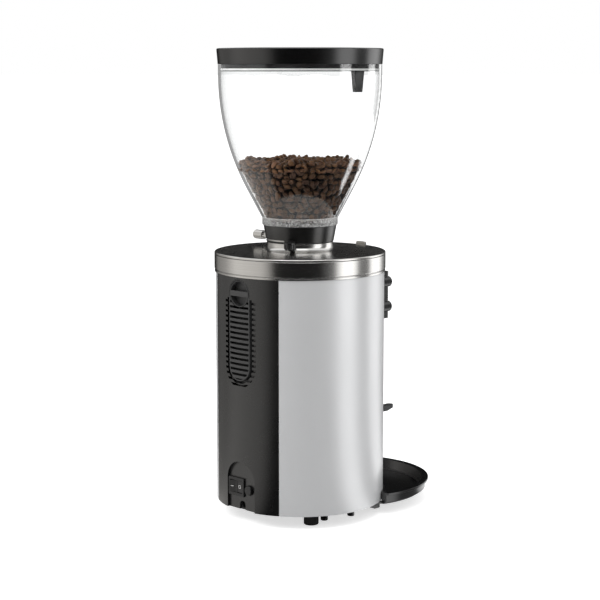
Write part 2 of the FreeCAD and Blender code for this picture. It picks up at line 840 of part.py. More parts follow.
# Latch knob: disc with two finger recesses either side of a bar, on a pin with a cam behind
finger_room = cut(
    cylinder(latch_radius - s.latch_lip, s.latch_recess_depth + PASS, 0, latch_face - s.latch_recess_depth,
             latch_height, TO_REAR),
    block((-latch_radius, latch_radius), (fan_rear, s.body_radius + PASS),
          (latch_height - s.latch_bar / 2, latch_height + s.latch_bar / 2)))
cam_rear = bridge_rear - s.latch_bridge - s.slide_gap
piece("latch_knob", fuse(
    cut(cylinder(latch_radius, s.latch_thickness, 0, latch_back, latch_height, TO_REAR), finger_room),
    cylinder(s.latch_pin_radius, latch_back - cam_rear + 2 * s.slide_gap, 0, cam_rear - s.slide_gap,
             latch_height, TO_REAR),
    block((-s.latch_cam_reach, s.latch_cam_reach), (cam_rear - s.latch_bridge, cam_rear),
          (latch_height - s.latch_cam_width / 2, latch_height + s.latch_cam_width / 2))))

# Fan duct: pill-shaped tunnel from the fan to the panel, with a flange on the fan frame
fan_height = panel_foot + fan_level
fan_low = fan_height - s.fan_half_width
fan_high = fan_height + s.fan_half_width
duct_length = s.body_radius - fan_rear
piece("fan_duct", common(
    cut(fuse(pill(duct_half_width, cover_low, latch_height, fan_rear, duct_length),
             block((-s.fan_half_width, s.fan_half_width), (fan_rear, fan_rear + s.duct_flange),
                   (fan_low, fan_high))),
        pill(opening_half_width, cover_low, latch_height, fan_rear - PASS, duct_length + 2 * PASS)),
    cylinder(panel_inner - s.seat_gap, s.body_height, 0, 0, panel_foot)))

# Fan frame: square frame with a round bore and a four-armed spider for the hub pin
fan_square = plate(
    rounded(-s.fan_half_width, s.fan_half_width, fan_low, fan_high, s.fan_corner), s.fan_depth,
    0, fan_rear, 0, TO_FRONT)
spider = common(
    fuse(cylinder(s.fan_hub_radius, s.fan_strut, 0, fan_front, fan_height, TO_REAR),
         block((-s.fan_strut, s.fan_strut), (fan_front, fan_front + s.fan_strut), (fan_low, fan_high)),
         block((-s.fan_half_width, s.fan_half_width), (fan_front, fan_front + s.fan_strut),
               (fan_height - s.fan_strut, fan_height + s.fan_strut))),
    cylinder(s.fan_bore_radius + s.fan_strut / 2, s.fan_depth, 0, fan_front, fan_height, TO_REAR))
piece("fan_frame", cut(
    fuse(cut(fan_square,
             cylinder(s.fan_bore_radius, s.fan_depth + 2 * PASS, 0, fan_front - PASS, fan_height, TO_REAR)),
         spider),
    cylinder(s.fan_pin_radius + s.shaft_gap, s.fan_depth, 0, fan_front - PASS, fan_height, TO_REAR)))

# Fan rotor: hub with pitched blades, on a pin in the spider
hub_front = fan_front + s.fan_strut + s.slide_gap
hub_depth = fan_rear - PASS - hub_front
blades = []
for index in range(FAN_BLADES):
    blade = block((-s.fan_blade_thickness / 2, s.fan_blade_thickness / 2),
                  (-s.fan_blade_width / 2, s.fan_blade_width / 2),
                  (s.fan_hub_radius - PASS, s.fan_blade_radius))
    spin(blade, s.fan_blade_pitch)
    blade_ring = group(blade)
    blade_turn = FreeCAD.Rotation(FreeCAD.Vector(0, 1, 0), 360 / FAN_BLADES * index)
    blades.append(put(blade_ring, 0, hub_front + hub_depth / 2, fan_height, blade_turn))
piece("fan_rotor", fuse(
    common(fuse(*blades),
           cylinder(s.fan_blade_radius, hub_depth, 0, hub_front, fan_height, TO_REAR)),
    cylinder(s.fan_hub_radius, hub_depth, 0, hub_front, fan_height, TO_REAR),
    cylinder(s.fan_pin_radius, s.fan_strut + s.slide_gap + PASS, 0, fan_front, fan_height, TO_REAR)))

# Mains switch: bezel on the recess floor, body behind it, and a well for the rocker
rocker_room = s.rocker_half_width + s.rocker_play_x
bezel_face = recess_floor + s.switch_bezel
rocker_half_height = s.rocker_height / 2
piece("switch_body", cut(
    fuse(block((s.switch_x - s.switch_width / 2, s.switch_x + s.switch_width / 2), (recess_floor, bezel_face),
               (switch_height - s.switch_height / 2, switch_height + s.switch_height / 2)),
         block((s.switch_x - s.switch_body_width / 2, s.switch_x + s.switch_body_width / 2),
               (recess_floor - s.switch_body_depth, recess_floor),
               (switch_height - s.switch_body_height / 2, switch_height + s.switch_body_height / 2))),
    block((s.switch_x - rocker_room, s.switch_x + rocker_room),
          (bezel_face - s.rocker_well_depth, bezel_face + PASS),
          (switch_height - rocker_half_height - s.rocker_play_z,
           switch_height + rocker_half_height + s.rocker_play_z))))

# Rocker: shallow V that tilts about an upright pin, drawn about that pin
pivot_y = recess_floor - s.rocker_pivot_depth
rocker_wedge = plate([
    (-s.rocker_half_width, 0), (s.rocker_half_width, 0), (s.rocker_half_width, s.rocker_tip),
    (0, s.rocker_face), (-s.rocker_half_width, s.rocker_tip)], s.rocker_height)
rocker_pin = cylinder(s.rocker_hub_radius, s.rocker_height)
rocker = fuse(rocker_wedge, rocker_pin)
put(rocker, s.switch_x, pivot_y, switch_height - rocker_half_height,
    FreeCAD.Rotation(UP, s.rocker_tilt.value))
rocker.setExpression("Placement.Rotation.Angle", s.rocker_tilt.text)
piece("switch_rocker", rocker)

# Thermal cut-out: round reset button in the recess floor, in front of its breaker
reset_face = recess_floor + s.reset_stand
piece("reset_button", turned([
    (0, 0), (s.reset_radius, 0), (s.reset_radius, s.reset_length - 1, sized(1)),
    (s.reset_radius - 1, s.reset_length), (0, s.reset_length)],
    -s.reset_x, reset_face - s.reset_length, reset_height, TO_REAR))
breaker_front = reset_face - s.reset_length - s.reset_travel - s.slide_gap
breaker_sleeve = s.reset_radius + s.slide_gap
piece("reset_breaker", turned([
    (0, 0), (s.breaker_radius, 0), (s.breaker_radius, s.breaker_length),
    (s.breaker_radius, recess_back - breaker_front + s.breaker_length),
    (breaker_sleeve, recess_back - breaker_front + s.breaker_length),
    (breaker_sleeve, s.breaker_length), (0, s.breaker_length)],
    -s.reset_x, breaker_front - s.breaker_length, reset_height, TO_REAR))

# Cable gland: rubber bush in the rear edge of the base
piece("cable_gland", cut(
    block((-s.gland_half_width, s.gland_half_width), (gland_rear - s.gland_length, gland_rear),
          (panel_foot - s.gland_drop, panel_foot - s.gland_drop + s.gland_height)),
    cylinder(s.cable_radius, s.gland_length + 2 * PASS, 0, gland_rear - s.gland_length - PASS,
             cable_height, TO_REAR)))

# Motor: can with an upper bearing boss, end bell with the lower one, stator, rotor and shaft
motor_foot = deck_foot - s.motor_height
can_inner = motor_radius - s.motor_wall
boss_radius = s.bearing_radius + s.bearing_boss_wall
can_roof = deck_foot - s.motor_end_wall
piece("motor_housing", turned([
    (s.motor_eye_radius, deck_foot), (motor_radius, deck_foot), (motor_radius, motor_foot),
    (can_inner, motor_foot), (can_inner, can_roof), (boss_radius, can_roof),
    (boss_radius, can_roof - s.bearing_height), (s.bearing_radius, can_roof - s.bearing_height),
    (s.bearing_radius, can_roof), (s.motor_eye_radius, can_roof)]))
piece("motor_end_bell", turned([
    (0, motor_foot - s.motor_end_wall), (motor_radius, motor_foot - s.motor_end_wall),
    (motor_radius, motor_foot), (boss_radius, motor_foot), (boss_radius, motor_foot + s.bearing_height),
    (s.bearing_radius, motor_foot + s.bearing_height), (s.bearing_radius, motor_foot), (0, motor_foot)]))
bearings = []
for level in (motor_foot, can_roof - s.bearing_height):
    bearings.append(turned([
        (s.shaft_radius + s.shaft_gap, level), (s.bearing_radius - s.shaft_gap, level),
        (s.bearing_radius - s.shaft_gap, level + s.bearing_height),
        (s.shaft_radius + s.shaft_gap, level + s.bearing_height)]))
piece("motor_bearings", group(*bearings))
stator_low = motor_foot + s.stator_margin
stator_high = can_roof - s.stator_margin
stator_outer = can_inner - s.shaft_gap
stator_inner = stator_outer - s.stator_wall
piece("stator_core", turned([
    (stator_inner, stator_low), (stator_outer, stator_low), (stator_outer, stator_high),
    (stator_inner, stator_high)]))
rotor_radius = stator_inner - s.air_gap
rotor_bore = s.shaft_radius + s.shaft_gap
piece("rotor_core", turned([
    (rotor_bore, stator_low), (rotor_radius, stator_low), (rotor_radius, stator_high),
    (rotor_bore, stator_high)]))
chamber_floor = deck_top + s.chamber_floor
carrier_foot = chamber_floor + s.carrier_lift
carrier_top = carrier_foot + s.carrier_height
piece("motor_shaft", turned([
    (0, motor_foot + s.slide_gap), (s.shaft_radius, motor_foot + s.slide_gap),
    (s.shaft_radius, carrier_foot), (s.shaft_tip_radius, carrier_foot), (s.shaft_tip_radius, carrier_top),
    (0, carrier_top)]))

# Grinding chamber: open cup on the deck with an outlet in front
chamber_top = deck_top + s.chamber_height
chamber_inner = s.chamber_radius - s.chamber_wall
piece("grinding_chamber", cut(
    turned([
        (s.motor_eye_radius, deck_top), (s.chamber_radius, deck_top), (s.chamber_radius, chamber_top),
        (chamber_inner, chamber_top), (chamber_inner, chamber_floor), (s.motor_eye_radius, chamber_floor)]),
    block((-s.outlet_half_width, s.outlet_half_width), (-s.chamber_radius - PASS, -s.carrier_radius),
          (chamber_floor, chamber_floor + s.outlet_height))))

# Lower carrier: disc on the shaft with wipers that sweep the chamber
wipers = []
for index in range(WIPERS):
    wiper = block((0, s.wiper_radius), (-s.wiper_width / 2, s.wiper_width / 2), (carrier_foot, carrier_top))
    wipers.append(spin(wiper, 360 / WIPERS * index))
carrier_bore = cylinder(
    s.shaft_tip_radius + s.shaft_gap, s.carrier_height + 2 * PASS, 0, 0, carrier_foot - PASS)
for index, wiper in enumerate(wipers):
    angle = 360 / WIPERS * index
    wiper.setExpression("Placement.Base.x", (sine(angle) * s.wiper_width / 2).text)
    wiper.setExpression("Placement.Base.y", (-cosine(angle) * s.wiper_width / 2).text)
piece("lower_burr_carrier", cut(
    common(fuse(cylinder(s.carrier_radius, s.carrier_height, 0, 0, carrier_foot), *wipers),
           cylinder(s.wiper_radius, s.carrier_height, 0, 0, carrier_foot)),
    carrier_bore))


def burr(foot, toothed_face):
    """A flat steel ring with slanted grooves across the face that grinds."""
    ring = turned([
        (s.burr_eye_radius, foot), (s.burr_radius, foot), (s.burr_radius, foot + s.burr_height),
        (s.burr_eye_radius, foot + s.burr_height)])
    low = toothed_face - s.burr_groove_depth
    grooves = []
    for index in range(BURR_GROOVES):
        angle = 360 / BURR_GROOVES * index
        groove = block((0, s.burr_radius + PASS), (0, s.burr_groove_width),
                       (low, toothed_face + s.burr_groove_depth))
        spin(groove, angle)
        groove.setExpression("Placement.Base.x", (-sine(angle) * s.burr_groove_lead).text)
        groove.setExpression("Placement.Base.y", (cosine(angle) * s.burr_groove_lead).text)
        grooves.append(groove)
    return cut(ring, *grooves)


lower_burr_top = carrier_top + s.burr_height
upper_burr_foot = lower_burr_top + s.burr_gap
upper_burr_top = upper_burr_foot + s.burr_height
piece("lower_burr", burr(carrier_top, lower_burr_top))
piece("upper_burr", burr(upper_burr_foot, upper_burr_foot))

# Carrier bolt: domed nut on the shaft end that feeds the beans outward
piece("carrier_bolt", turned([
    (0, carrier_top), (s.carrier_bolt_radius, carrier_top),
    (s.carrier_bolt_radius, carrier_top + s.carrier_bolt_height / 2),
    (s.carrier_bolt_radius / 2, carrier_top + s.carrier_bolt_height),
    (0, carrier_top + s.carrier_bolt_height)]))

# Upper carrier: flanged funnel that slides in the chamber and holds the fixed burr
flange_top = upper_burr_top + s.upper_carrier_flange
piece("upper_burr_carrier", turned([
    (s.burr_eye_radius + PASS, upper_burr_top), (chamber_inner - s.slide_gap, upper_burr_top),
    (chamber_inner - s.slide_gap, flange_top), (s.upper_neck_radius, flange_top),
    (s.upper_neck_radius, flange_top + s.upper_neck_height),
    (s.throat_radius, flange_top + s.upper_neck_height), (s.throat_radius, flange_top)]))

# Adjusting ring and grind lever: the ring turns on the chamber rim, the lever comes out in front
ring_foot = chamber_top + s.slide_gap
ring_top = ring_foot + s.ring_height
piece("adjusting_ring", turned([
    (s.upper_neck_radius + s.slide_gap, ring_foot), (s.ring_radius, ring_foot), (s.ring_radius, ring_top),
    (s.upper_neck_radius + s.slide_gap, ring_top)]))
band_foot = panel_foot + s.body_height
band_top = band_foot + s.band_height
cover_foot = band_top + s.cover_seam
cover_top = cover_foot + s.cover_thickness
lever_top = ring_top + s.lever_thickness
lever_root = s.upper_neck_radius + PASS
piece("grind_lever", fuse(
    block((-s.lever_half_width, s.lever_half_width), (-lever_reach, -lever_root), (ring_top, lever_top)),
    plate(rounded(-s.lever_tab_half_width, s.lever_tab_half_width, ring_top, cover_top + s.lever_tab_rise,
                  s.lever_thickness / 2),
          s.lever_thickness, 0, -lever_reach + s.lever_thickness, 0, TO_FRONT)))

# Cap band: turned ring over the panel tops with a bead at its lower edge and a slot for the lever
band_inner = s.body_radius + s.seat_gap
bead_top = band_foot + s.bead_height
groove_floor = bead_radius - s.bead_groove_depth
band_profile = turned([
    (band_inner, band_foot), (bead_radius, band_foot), (bead_radius, bead_top), (groove_floor, bead_top),
    (groove_floor, bead_top + s.bead_groove),
    (cap_radius - s.band_edge, bead_top + s.bead_groove, s.band_edge),
    (cap_radius, bead_top + s.bead_groove + s.band_edge), (cap_radius, band_top - s.band_edge, s.band_edge),
    (cap_radius - s.band_edge, band_top), (cap_radius - s.band_wall, band_top),
    (cap_radius - s.band_wall, panel_top + s.slide_gap), (band_inner, panel_top + s.slide_gap)])
lever_slot = cylinder(
    lever_reach, s.lever_thickness + 2 * s.slide_gap, 0, 0, ring_top - s.slide_gap, LEVEL,
    s.lever_half_swing * 2)
spin(lever_slot, 270 - s.lever_half_swing)
piece("cap_band", cut(band_profile, lever_slot))

# Top cover: polished plate with a flared neck that takes the hopper
neck_top = panel_foot + neck_level
cover_inner_top = cover_top + s.cover_rise
neck_inner = s.neck_radius - s.neck_wall
plate_edge = cap_radius - s.cover_edge
flare_radius = s.neck_radius + s.neck_flare
piece("top_cover", turned([
    (cap_radius - s.band_wall, cover_foot), (cap_radius, cover_foot), (cap_radius, cover_top - s.cover_edge,
     s.cover_edge), (plate_edge, cover_top), (flare_radius, cover_inner_top, -s.neck_flare),
    (s.neck_radius, cover_inner_top + s.neck_flare), (s.neck_radius, neck_top), (neck_inner, neck_top),
    (neck_inner, cover_inner_top - s.cover_thickness), (flare_radius, cover_inner_top - s.cover_thickness)]))

# Hopper collar: black moulding with a spigot in the neck, a socket for the hopper and the shutter slot
collar_foot = panel_foot + collar_level
collar_top = collar_foot + s.collar_height
spigot_radius = neck_inner - s.slide_gap
socket_floor = collar_top - s.collar_socket_depth
socket_radius = hopper_spigot_radius + s.slide_gap
collar_profile = turned([
    (collar_throat_radius, collar_foot - s.collar_spigot_length),
    (spigot_radius, collar_foot - s.collar_spigot_length), (spigot_radius, collar_foot),
    (collar_foot_radius - 1, collar_foot, sized(1)), (collar_foot_radius, collar_foot + 1),
    (collar_top_radius, collar_top), (socket_radius, collar_top), (socket_radius, socket_floor),
    (collar_throat_radius, socket_floor)])
lock_x = -lock_knob_circle * sine(s.lock_knob_angle)
lock_y = lock_knob_circle * cosine(s.lock_knob_angle)
lug_foot = collar_foot + s.slide_gap
lock_lug = common(
    fuse(cylinder(s.lock_knob_radius, s.lock_lug_height, lock_x, lock_y, lug_foot),
         cylinder(collar_foot_radius + PASS, s.lock_lug_height, 0, 0, lug_foot)),
    cylinder(s.lock_knob_radius, s.lock_lug_height, lock_x, lock_y, lug_foot))
lug_root = plate([
    (collar_throat_radius + PASS, -s.lock_knob_radius / 2), (lock_knob_circle, -s.lock_knob_radius / 2),
    (lock_knob_circle, s.lock_knob_radius / 2), (collar_throat_radius + PASS, s.lock_knob_radius / 2)],
    s.lock_lug_height, 0, 0, lug_foot)
spin(lug_root, 90 + s.lock_knob_angle)
shutter_height = panel_foot + shutter_level
slot_foot = shutter_height - s.slide_gap
slot_room = s.shutter_thickness + 2 * s.slide_gap
shutter_radius = collar_throat_radius + s.shutter_cover
shutter_slot = fuse(
    block((-s.shutter_slot_end, lever_reach), (-lever_reach, lever_reach),
          (slot_foot, slot_foot + slot_room)),
    cylinder(shutter_radius + s.slide_gap, slot_room, 0, 0, slot_foot))
piece("hopper_collar", cut(
    fuse(collar_profile, lock_lug, lug_root), shutter_slot,
    cylinder(s.lock_pin_radius + s.shaft_gap, s.lock_lug_height + PASS, lock_x, lock_y, lug_foot - PASS / 2)))

# Shutter: steel plate with shoulders that close the slot, a tongue and a turned knob
shoulder_radius = collar_foot_radius - s.shutter_inset
shoulders = cut(
    cylinder(shoulder_radius, s.shutter_thickness, 0, 0, shutter_height),
    block((-s.body_radius, -s.shutter_slot_end + s.slide_gap), (-s.body_radius, s.body_radius),
          (shutter_height - PASS, shutter_height + PASS * 2)))
piece("shutter_plate", fuse(
    shoulders, cylinder(shutter_radius, s.shutter_thickness, 0, 0, shutter_height),
    block((0, shutter_tongue_reach), (-s.shutter_tongue_half_width, s.shutter_tongue_half_width),
          (shutter_height, shutter_height + s.shutter_thickness))))
knob_length = s.shutter_knob_length
knob_neck = shutter_knob_start - shutter_tongue_reach
piece("shutter_knob", turned([
    (0, 0), (s.shutter_stem_radius, 0), (s.shutter_stem_radius, knob_neck),
    (s.shutter_knob_radius, knob_neck),
    (s.shutter_knob_radius, knob_neck + knob_length - 1, sized(1)),
    (s.shutter_knob_radius - 1, knob_neck + knob_length), (0, knob_neck + knob_length)],
    shutter_tongue_reach, 0, shutter_height + s.shutter_thickness / 2, TO_RIGHT))

# Hopper lock knob: ribbed knob on an upright pin in the collar lug
lock_foot = lug_foot - s.slide_gap - s.lock_knob_height
rib_radius = s.lock_knob_radius * (math.pi / LOCK_RIBS / 2)
lock_ribs = []
for index in range(LOCK_RIBS):
    angle = 360 / LOCK_RIBS * index
    lock_ribs.append(cylinder(
        rib_radius, s.lock_knob_height + PASS, lock_x + s.lock_knob_radius * cosine(angle),
        lock_y + s.lock_knob_radius * sine(angle), lock_foot - PASS / 2))
piece("hopper_lock_knob", fuse(
    cut(turned([
        (0, 0), (s.lock_knob_radius - 1.5, 0), (s.lock_knob_radius, 1.5),
        (s.lock_knob_radius, s.lock_knob_height), (0, s.lock_knob_height)],
        lock_x, lock_y, lock_foot), *lock_ribs),
    cylinder(s.lock_pin_radius, s.lock_lug_height, lock_x, lock_y,
             lock_foot + s.lock_knob_height - PASS / 2)))

# Hopper: clear bell with an even wall; a cone runs into a wide curve that ends upright, and the rim
# rises straight from there
hopper_foot = collar_top + s.slide_gap
bell_foot = hopper_foot + s.hopper_flange_height + s.seat_gap * 4
cone_slope = sine(s.hopper_cone_angle) / cosine(s.hopper_cone_angle)
curve_radius = s.hopper_radius - s.hopper_curve_radius * (1 - cosine(s.hopper_cone_angle))
curve_foot = bell_foot + (curve_radius - hopper_foot_radius) / cone_slope
curve_top = curve_foot + s.hopper_curve_radius * sine(s.hopper_cone_angle)
rim_top = curve_top + s.hopper_rise
inner_curve_radius = curve_radius - s.hopper_wall * cosine(s.hopper_cone_angle)
inner_curve_foot = curve_foot + s.hopper_wall * sine(s.hopper_cone_angle)
hopper_inner = s.hopper_radius - s.hopper_wall
spigot_inner = hopper_spigot_radius - s.hopper_wall
inner_cone_foot = inner_curve_foot - (inner_curve_radius - spigot_inner) / cone_slope
piece("hopper", turned([
    (spigot_inner, socket_floor + s.slide_gap), (hopper_spigot_radius, socket_floor + s.slide_gap),
    (hopper_spigot_radius, hopper_foot), (hopper_flange_radius, hopper_foot),
    (hopper_flange_radius, hopper_foot + s.hopper_flange_height), (hopper_foot_radius, bell_foot),
    (curve_radius, curve_foot, s.hopper_curve_radius), (s.hopper_radius, curve_top),
    (s.hopper_radius, rim_top), (hopper_inner, rim_top),
    (hopper_inner, curve_top, -(s.hopper_curve_radius - s.hopper_wall)),
    (inner_curve_radius, inner_curve_foot), (spigot_inner, inner_cone_foot)]))

# Lid: drafted black cap with a dished top and a plug in the hopper mouth; its tab hangs inside
lid_foot = rim_top + s.slide_gap
lid_top = lid_foot + s.lid_height
plug_foot = lid_foot - s.lid_plug_depth
plug_radius = hopper_inner - s.lid_plug_gap
lid_ceiling = lid_top - s.lid_dish - s.lid_wall
piece("hopper_lid", turned([
    (0, lid_top - s.lid_dish), (0, lid_ceiling), (plug_radius - s.lid_wall, lid_ceiling),
    (plug_radius - s.lid_wall, plug_foot), (plug_radius, plug_foot), (plug_radius, lid_foot),
    (lid_foot_radius, lid_foot), (lid_top_radius, lid_top - s.lid_edge, s.lid_edge),
    (lid_top_radius - s.lid_edge, lid_top), (lid_dish_radius + s.lid_dish, lid_top),
    (lid_dish_radius, lid_top - s.lid_dish)]))
tab_top = s.lid_tab_top_width / 2
tab_foot = s.lid_tab_foot_width / 2
tab_outer = plug_radius - s.lid_tab_inset
piece("lid_tab", plate([
    (tab_foot, plug_foot - s.lid_tab_height), (tab_top, plug_foot), (-tab_top, plug_foot),
    (-tab_foot, plug_foot - s.lid_tab_height)],
    s.lid_tab_thickness, -tab_outer, -s.lid_tab_shift, 0, SIDEWAYS))

# Front panel: black moulding with windows for the display and the chute
display_foot = panel_foot + display_level
display_top = display_foot + s.display_height
board_foot = panel_foot + board_level
board_top = board_foot + s.board_height
chute_foot = panel_foot + chute_drop_level
chute_mouth_top = chute_foot + s.chute_mouth_height
front_room = (-s.body_radius - PASS, -board_reach + PASS)
window_half_width = s.board_half_width + PASS
piece("front_panel", cut(
    sector(s.body_radius, panel_inner, 270, s.front_half_angle - joint_angle, panel_foot, panel_top),
    block((-window_half_width, window_half_width), front_room, (board_foot - PASS, board_top + PASS)),
    block((-chute_half_width - s.slide_gap, chute_half_width + s.slide_gap), front_room,
          (chute_foot - s.slide_gap, chute_mouth_top + s.slide_gap))))

# Display housing: hollow block that hugs the front panel, with a glass pocket and four button wells
display_plan = plate([
    (-s.display_half_width, -board_reach), (-s.display_half_width, s.display_corner - display_reach,
     s.display_corner), (s.display_corner - s.display_half_width, -display_reach),
    (s.display_half_width - s.display_corner, -display_reach, s.display_corner),
    (s.display_half_width, s.display_corner - display_reach), (s.display_half_width, -board_reach)],
    s.display_height, 0, 0, display_foot)
display_side = plate([
    (-board_reach, display_foot), (-board_reach, display_top),
    (s.display_edge - display_reach, display_top, s.display_edge),
    (-display_reach, display_top - s.display_edge), (-display_reach, display_foot + s.display_edge,
     s.display_edge), (s.display_edge - display_reach, display_foot)],
    2 * s.display_half_width, -s.display_half_width, 0, 0, SIDEWAYS)
glass_back = display_reach - s.glass_thickness
glass_foot = display_foot + (s.display_height - s.glass_height) / 2
glass_top = glass_foot + s.glass_height
glass_room = s.glass_half_width + s.seat_gap
cavity_face = glass_back - s.display_wall / 2
cavity_half_width = s.board_half_width
button_places = {
    "button_high_left": (-s.button_x, panel_foot + button_high_level),
    "button_high_right": (s.button_x, panel_foot + button_high_level),
    "button_low_left": (-s.button_x, panel_foot + button_low_level),
    "button_low_right": (s.button_x, panel_foot + button_low_level)}
wells = []
for button_x, button_z in button_places.values():
    wells.append(cylinder(
        s.button_radius + s.slide_gap, display_reach, button_x, -display_reach - PASS, button_z, TO_REAR))
posts = []
for post_x in (s.board_half_width - s.board_post_inset, s.board_post_inset - s.board_half_width):
    for post_z in (board_foot + s.board_post_inset, board_top - s.board_post_inset):
        posts.append(cylinder(
            s.board_post_radius, cavity_face - board_reach + PASS / 2, post_x, -cavity_face - PASS / 2,
            post_z, TO_REAR))
display_shell = cut(
    common(display_plan, display_side), cylinder(s.body_radius + s.seat_gap, s.body_height, 0, 0, panel_foot),
    block((-glass_room, glass_room), (-display_reach - PASS, -glass_back),
          (glass_foot - s.seat_gap, glass_top + s.seat_gap)),
    block((-cavity_half_width, cavity_half_width), (-cavity_face, 0),
          (board_foot - PASS / 2, board_top + PASS / 2)),
    *wells)
piece("display_housing", fuse(display_shell, *posts))
piece("display_glass", block(
    (-s.glass_half_width, s.glass_half_width), (-display_reach, -glass_back), (glass_foot, glass_top)))

# Control board: circuit board on the posts, with its connectors behind it
board_back = board_reach - s.board_thickness
piece("control_board", fuse(
    block((-s.board_half_width, s.board_half_width), (-board_reach, -board_back), (board_foot, board_top)),
    block((s.board_post_inset * 2, s.board_half_width - s.board_post_inset * 2),
          (-board_back, s.board_post_inset - board_back),
          (board_top - s.board_post_inset * 3, board_top - s.board_post_inset)),
    block((s.board_post_inset * 2 - s.board_half_width, -s.board_post_inset * 2),
          (-board_back, s.board_post_inset - board_back),
          (board_top - s.board_post_inset * 3, board_top - s.board_post_inset))))

# Display buttons: four domed keys in the wells
dome_radius = (s.button_radius * s.button_radius + s.button_dome * s.button_dome) / (2 * s.button_dome)
for label, (button_x, button_z) in button_places.items():
    piece(label, turned([
        (0, 0), (s.button_radius, 0), (s.button_radius, s.button_length, dome_radius),
        (0, s.button_length + s.button_dome)],
        button_x, s.button_length - display_reach, button_z, TO_FRONT))

# Outlet chute: square duct from the chamber outlet down through the front panel
chute_top = chamber_floor + s.outlet_height + s.chute_wall
chute_back = s.chamber_radius + s.slide_gap
chute_knee = chute_back + s.outlet_half_width / 2
deck_edge = s.chamber_radius + PASS * 2


def chute_side(shrink, half_width, overrun):
    """The side outline of the chute, drawn smaller by its wall for the hollow inside."""
    return plate([
        (-s.carrier_radius, chamber_floor + shrink),
        (-deck_edge - shrink / 2, chamber_floor + shrink - s.chute_wall),
        (-deck_edge - shrink, deck_foot - PASS + shrink), (-board_reach - shrink, chute_foot + shrink),
        (-chute_mouth_reach - overrun, chute_foot + shrink),
        (-chute_mouth_reach - overrun, chute_mouth_top - shrink),
        (-board_reach - s.board_post_inset + shrink / 2, chute_mouth_top - shrink),
        (-chute_knee + shrink / 2, chute_top - shrink), (-s.carrier_radius, chute_top - shrink)],
        2 * half_width, -half_width, 0, 0, SIDEWAYS)


piece("outlet_chute", cut(
    chute_side(sized(0) * 1, chute_half_width, 0), chute_side(s.chute_wall, s.outlet_half_width, PASS),
    cylinder(s.chamber_radius + s.seat_gap, s.chamber_height + 2 * PASS, 0, 0, deck_top - PASS)))

# Spout: hooded nozzle on the front panel, open to the chute behind and downward at its foot
spout_top = panel_foot + spout_top_level
spout_foot = panel_foot + spout_foot_level


def spout_form(shrink, overrun):
    """The side view and the plan of the spout, crossed; drawn smaller by its wall for the inside."""
    half_width = s.spout_half_width - shrink
    reach = spout_reach - shrink
    side = plate([
        (-board_reach, spout_top - shrink), (-board_reach, chute_foot - PASS + shrink),
        (-spout_back_reach - shrink, chute_foot - PASS + shrink),
        (-spout_back_reach - shrink, spout_foot - overrun),
        (-reach, spout_foot - overrun), (-reach, spout_top - s.spout_brow),
        (s.spout_brow - reach, spout_top - shrink)],
        2 * half_width, -half_width, 0, 0, SIDEWAYS)
    plan = plate([
        (-half_width, -board_reach), (-half_width, s.spout_corner - reach, s.spout_corner),
        (s.spout_corner - half_width, -reach), (half_width - s.spout_corner, -reach, s.spout_corner),
        (half_width, s.spout_corner - reach), (half_width, -board_reach)],
        spout_top - spout_foot + 2 * PASS, 0, 0, spout_foot - PASS)
    return common(side, plan)


piece("spout", cut(
    spout_form(sized(0) * 1, 0), spout_form(s.spout_wall, PASS),
    cylinder(s.body_radius + s.seat_gap, s.body_height, 0, 0, panel_foot)))

# Fork rail: upright bar on the front panel
rail_foot = panel_foot + s.rail_low_level
rail_top = panel_foot + s.rail_high_level
piece("fork_rail", cut(
    plate(rounded(-s.rail_half_width, s.rail_half_width, rail_foot, rail_top, s.rail_half_width / 2),
          rail_reach - board_reach, 0, -board_reach, 0, TO_FRONT),
    cylinder(s.body_radius + s.seat_gap, s.body_height, 0, 0, panel_foot)))

# Portafilter fork: two tapered prongs on a carriage that slides on the rail
fork_top = panel_foot + s.fork_level
fork_back = rail_reach + s.slide_gap
prong_radius = (s.fork_half_width - s.fork_gap_half_width) / 2
prong_straight = fork_reach - prong_radius
fork_plan = fuse(
    block((-s.fork_half_width, s.fork_half_width), (-fork_root_reach, -fork_back),
          (fork_top - s.carriage_height, fork_top)),
    *[block((prong_x - prong_radius, prong_x + prong_radius), (-prong_straight, -fork_back),
            (fork_top - s.carriage_height, fork_top))
      for prong_x in (s.fork_half_width - prong_radius, prong_radius - s.fork_half_width)],
    *[cylinder(prong_radius, s.carriage_height, prong_x, -prong_straight, fork_top - s.carriage_height)
      for prong_x in (s.fork_half_width - prong_radius, prong_radius - s.fork_half_width)])
fork_side = plate([
    (-fork_back, fork_top - s.fork_root_thickness), (-fork_back, fork_top), (-fork_reach - PASS, fork_top),
    (-fork_reach - PASS, fork_top - s.fork_tip_thickness),
    (-fork_root_reach, fork_top - s.fork_root_thickness)],
    2 * s.fork_half_width, -s.fork_half_width, 0, 0, SIDEWAYS)
clamp_height = fork_top - s.carriage_height + s.clamp_radius
carriage = block(
    (-s.carriage_half_width, s.carriage_half_width), (-fork_back - s.carriage_depth, -fork_back),
    (fork_top - s.carriage_height, fork_top))
piece("portafilter_fork", cut(
    fuse(common(fork_plan, fork_side), carriage),
    cylinder(s.clamp_screw_radius + s.shaft_gap, s.carriage_depth + 2 * PASS, 0,
             -fork_back - s.carriage_depth - PASS, clamp_height, TO_REAR)))

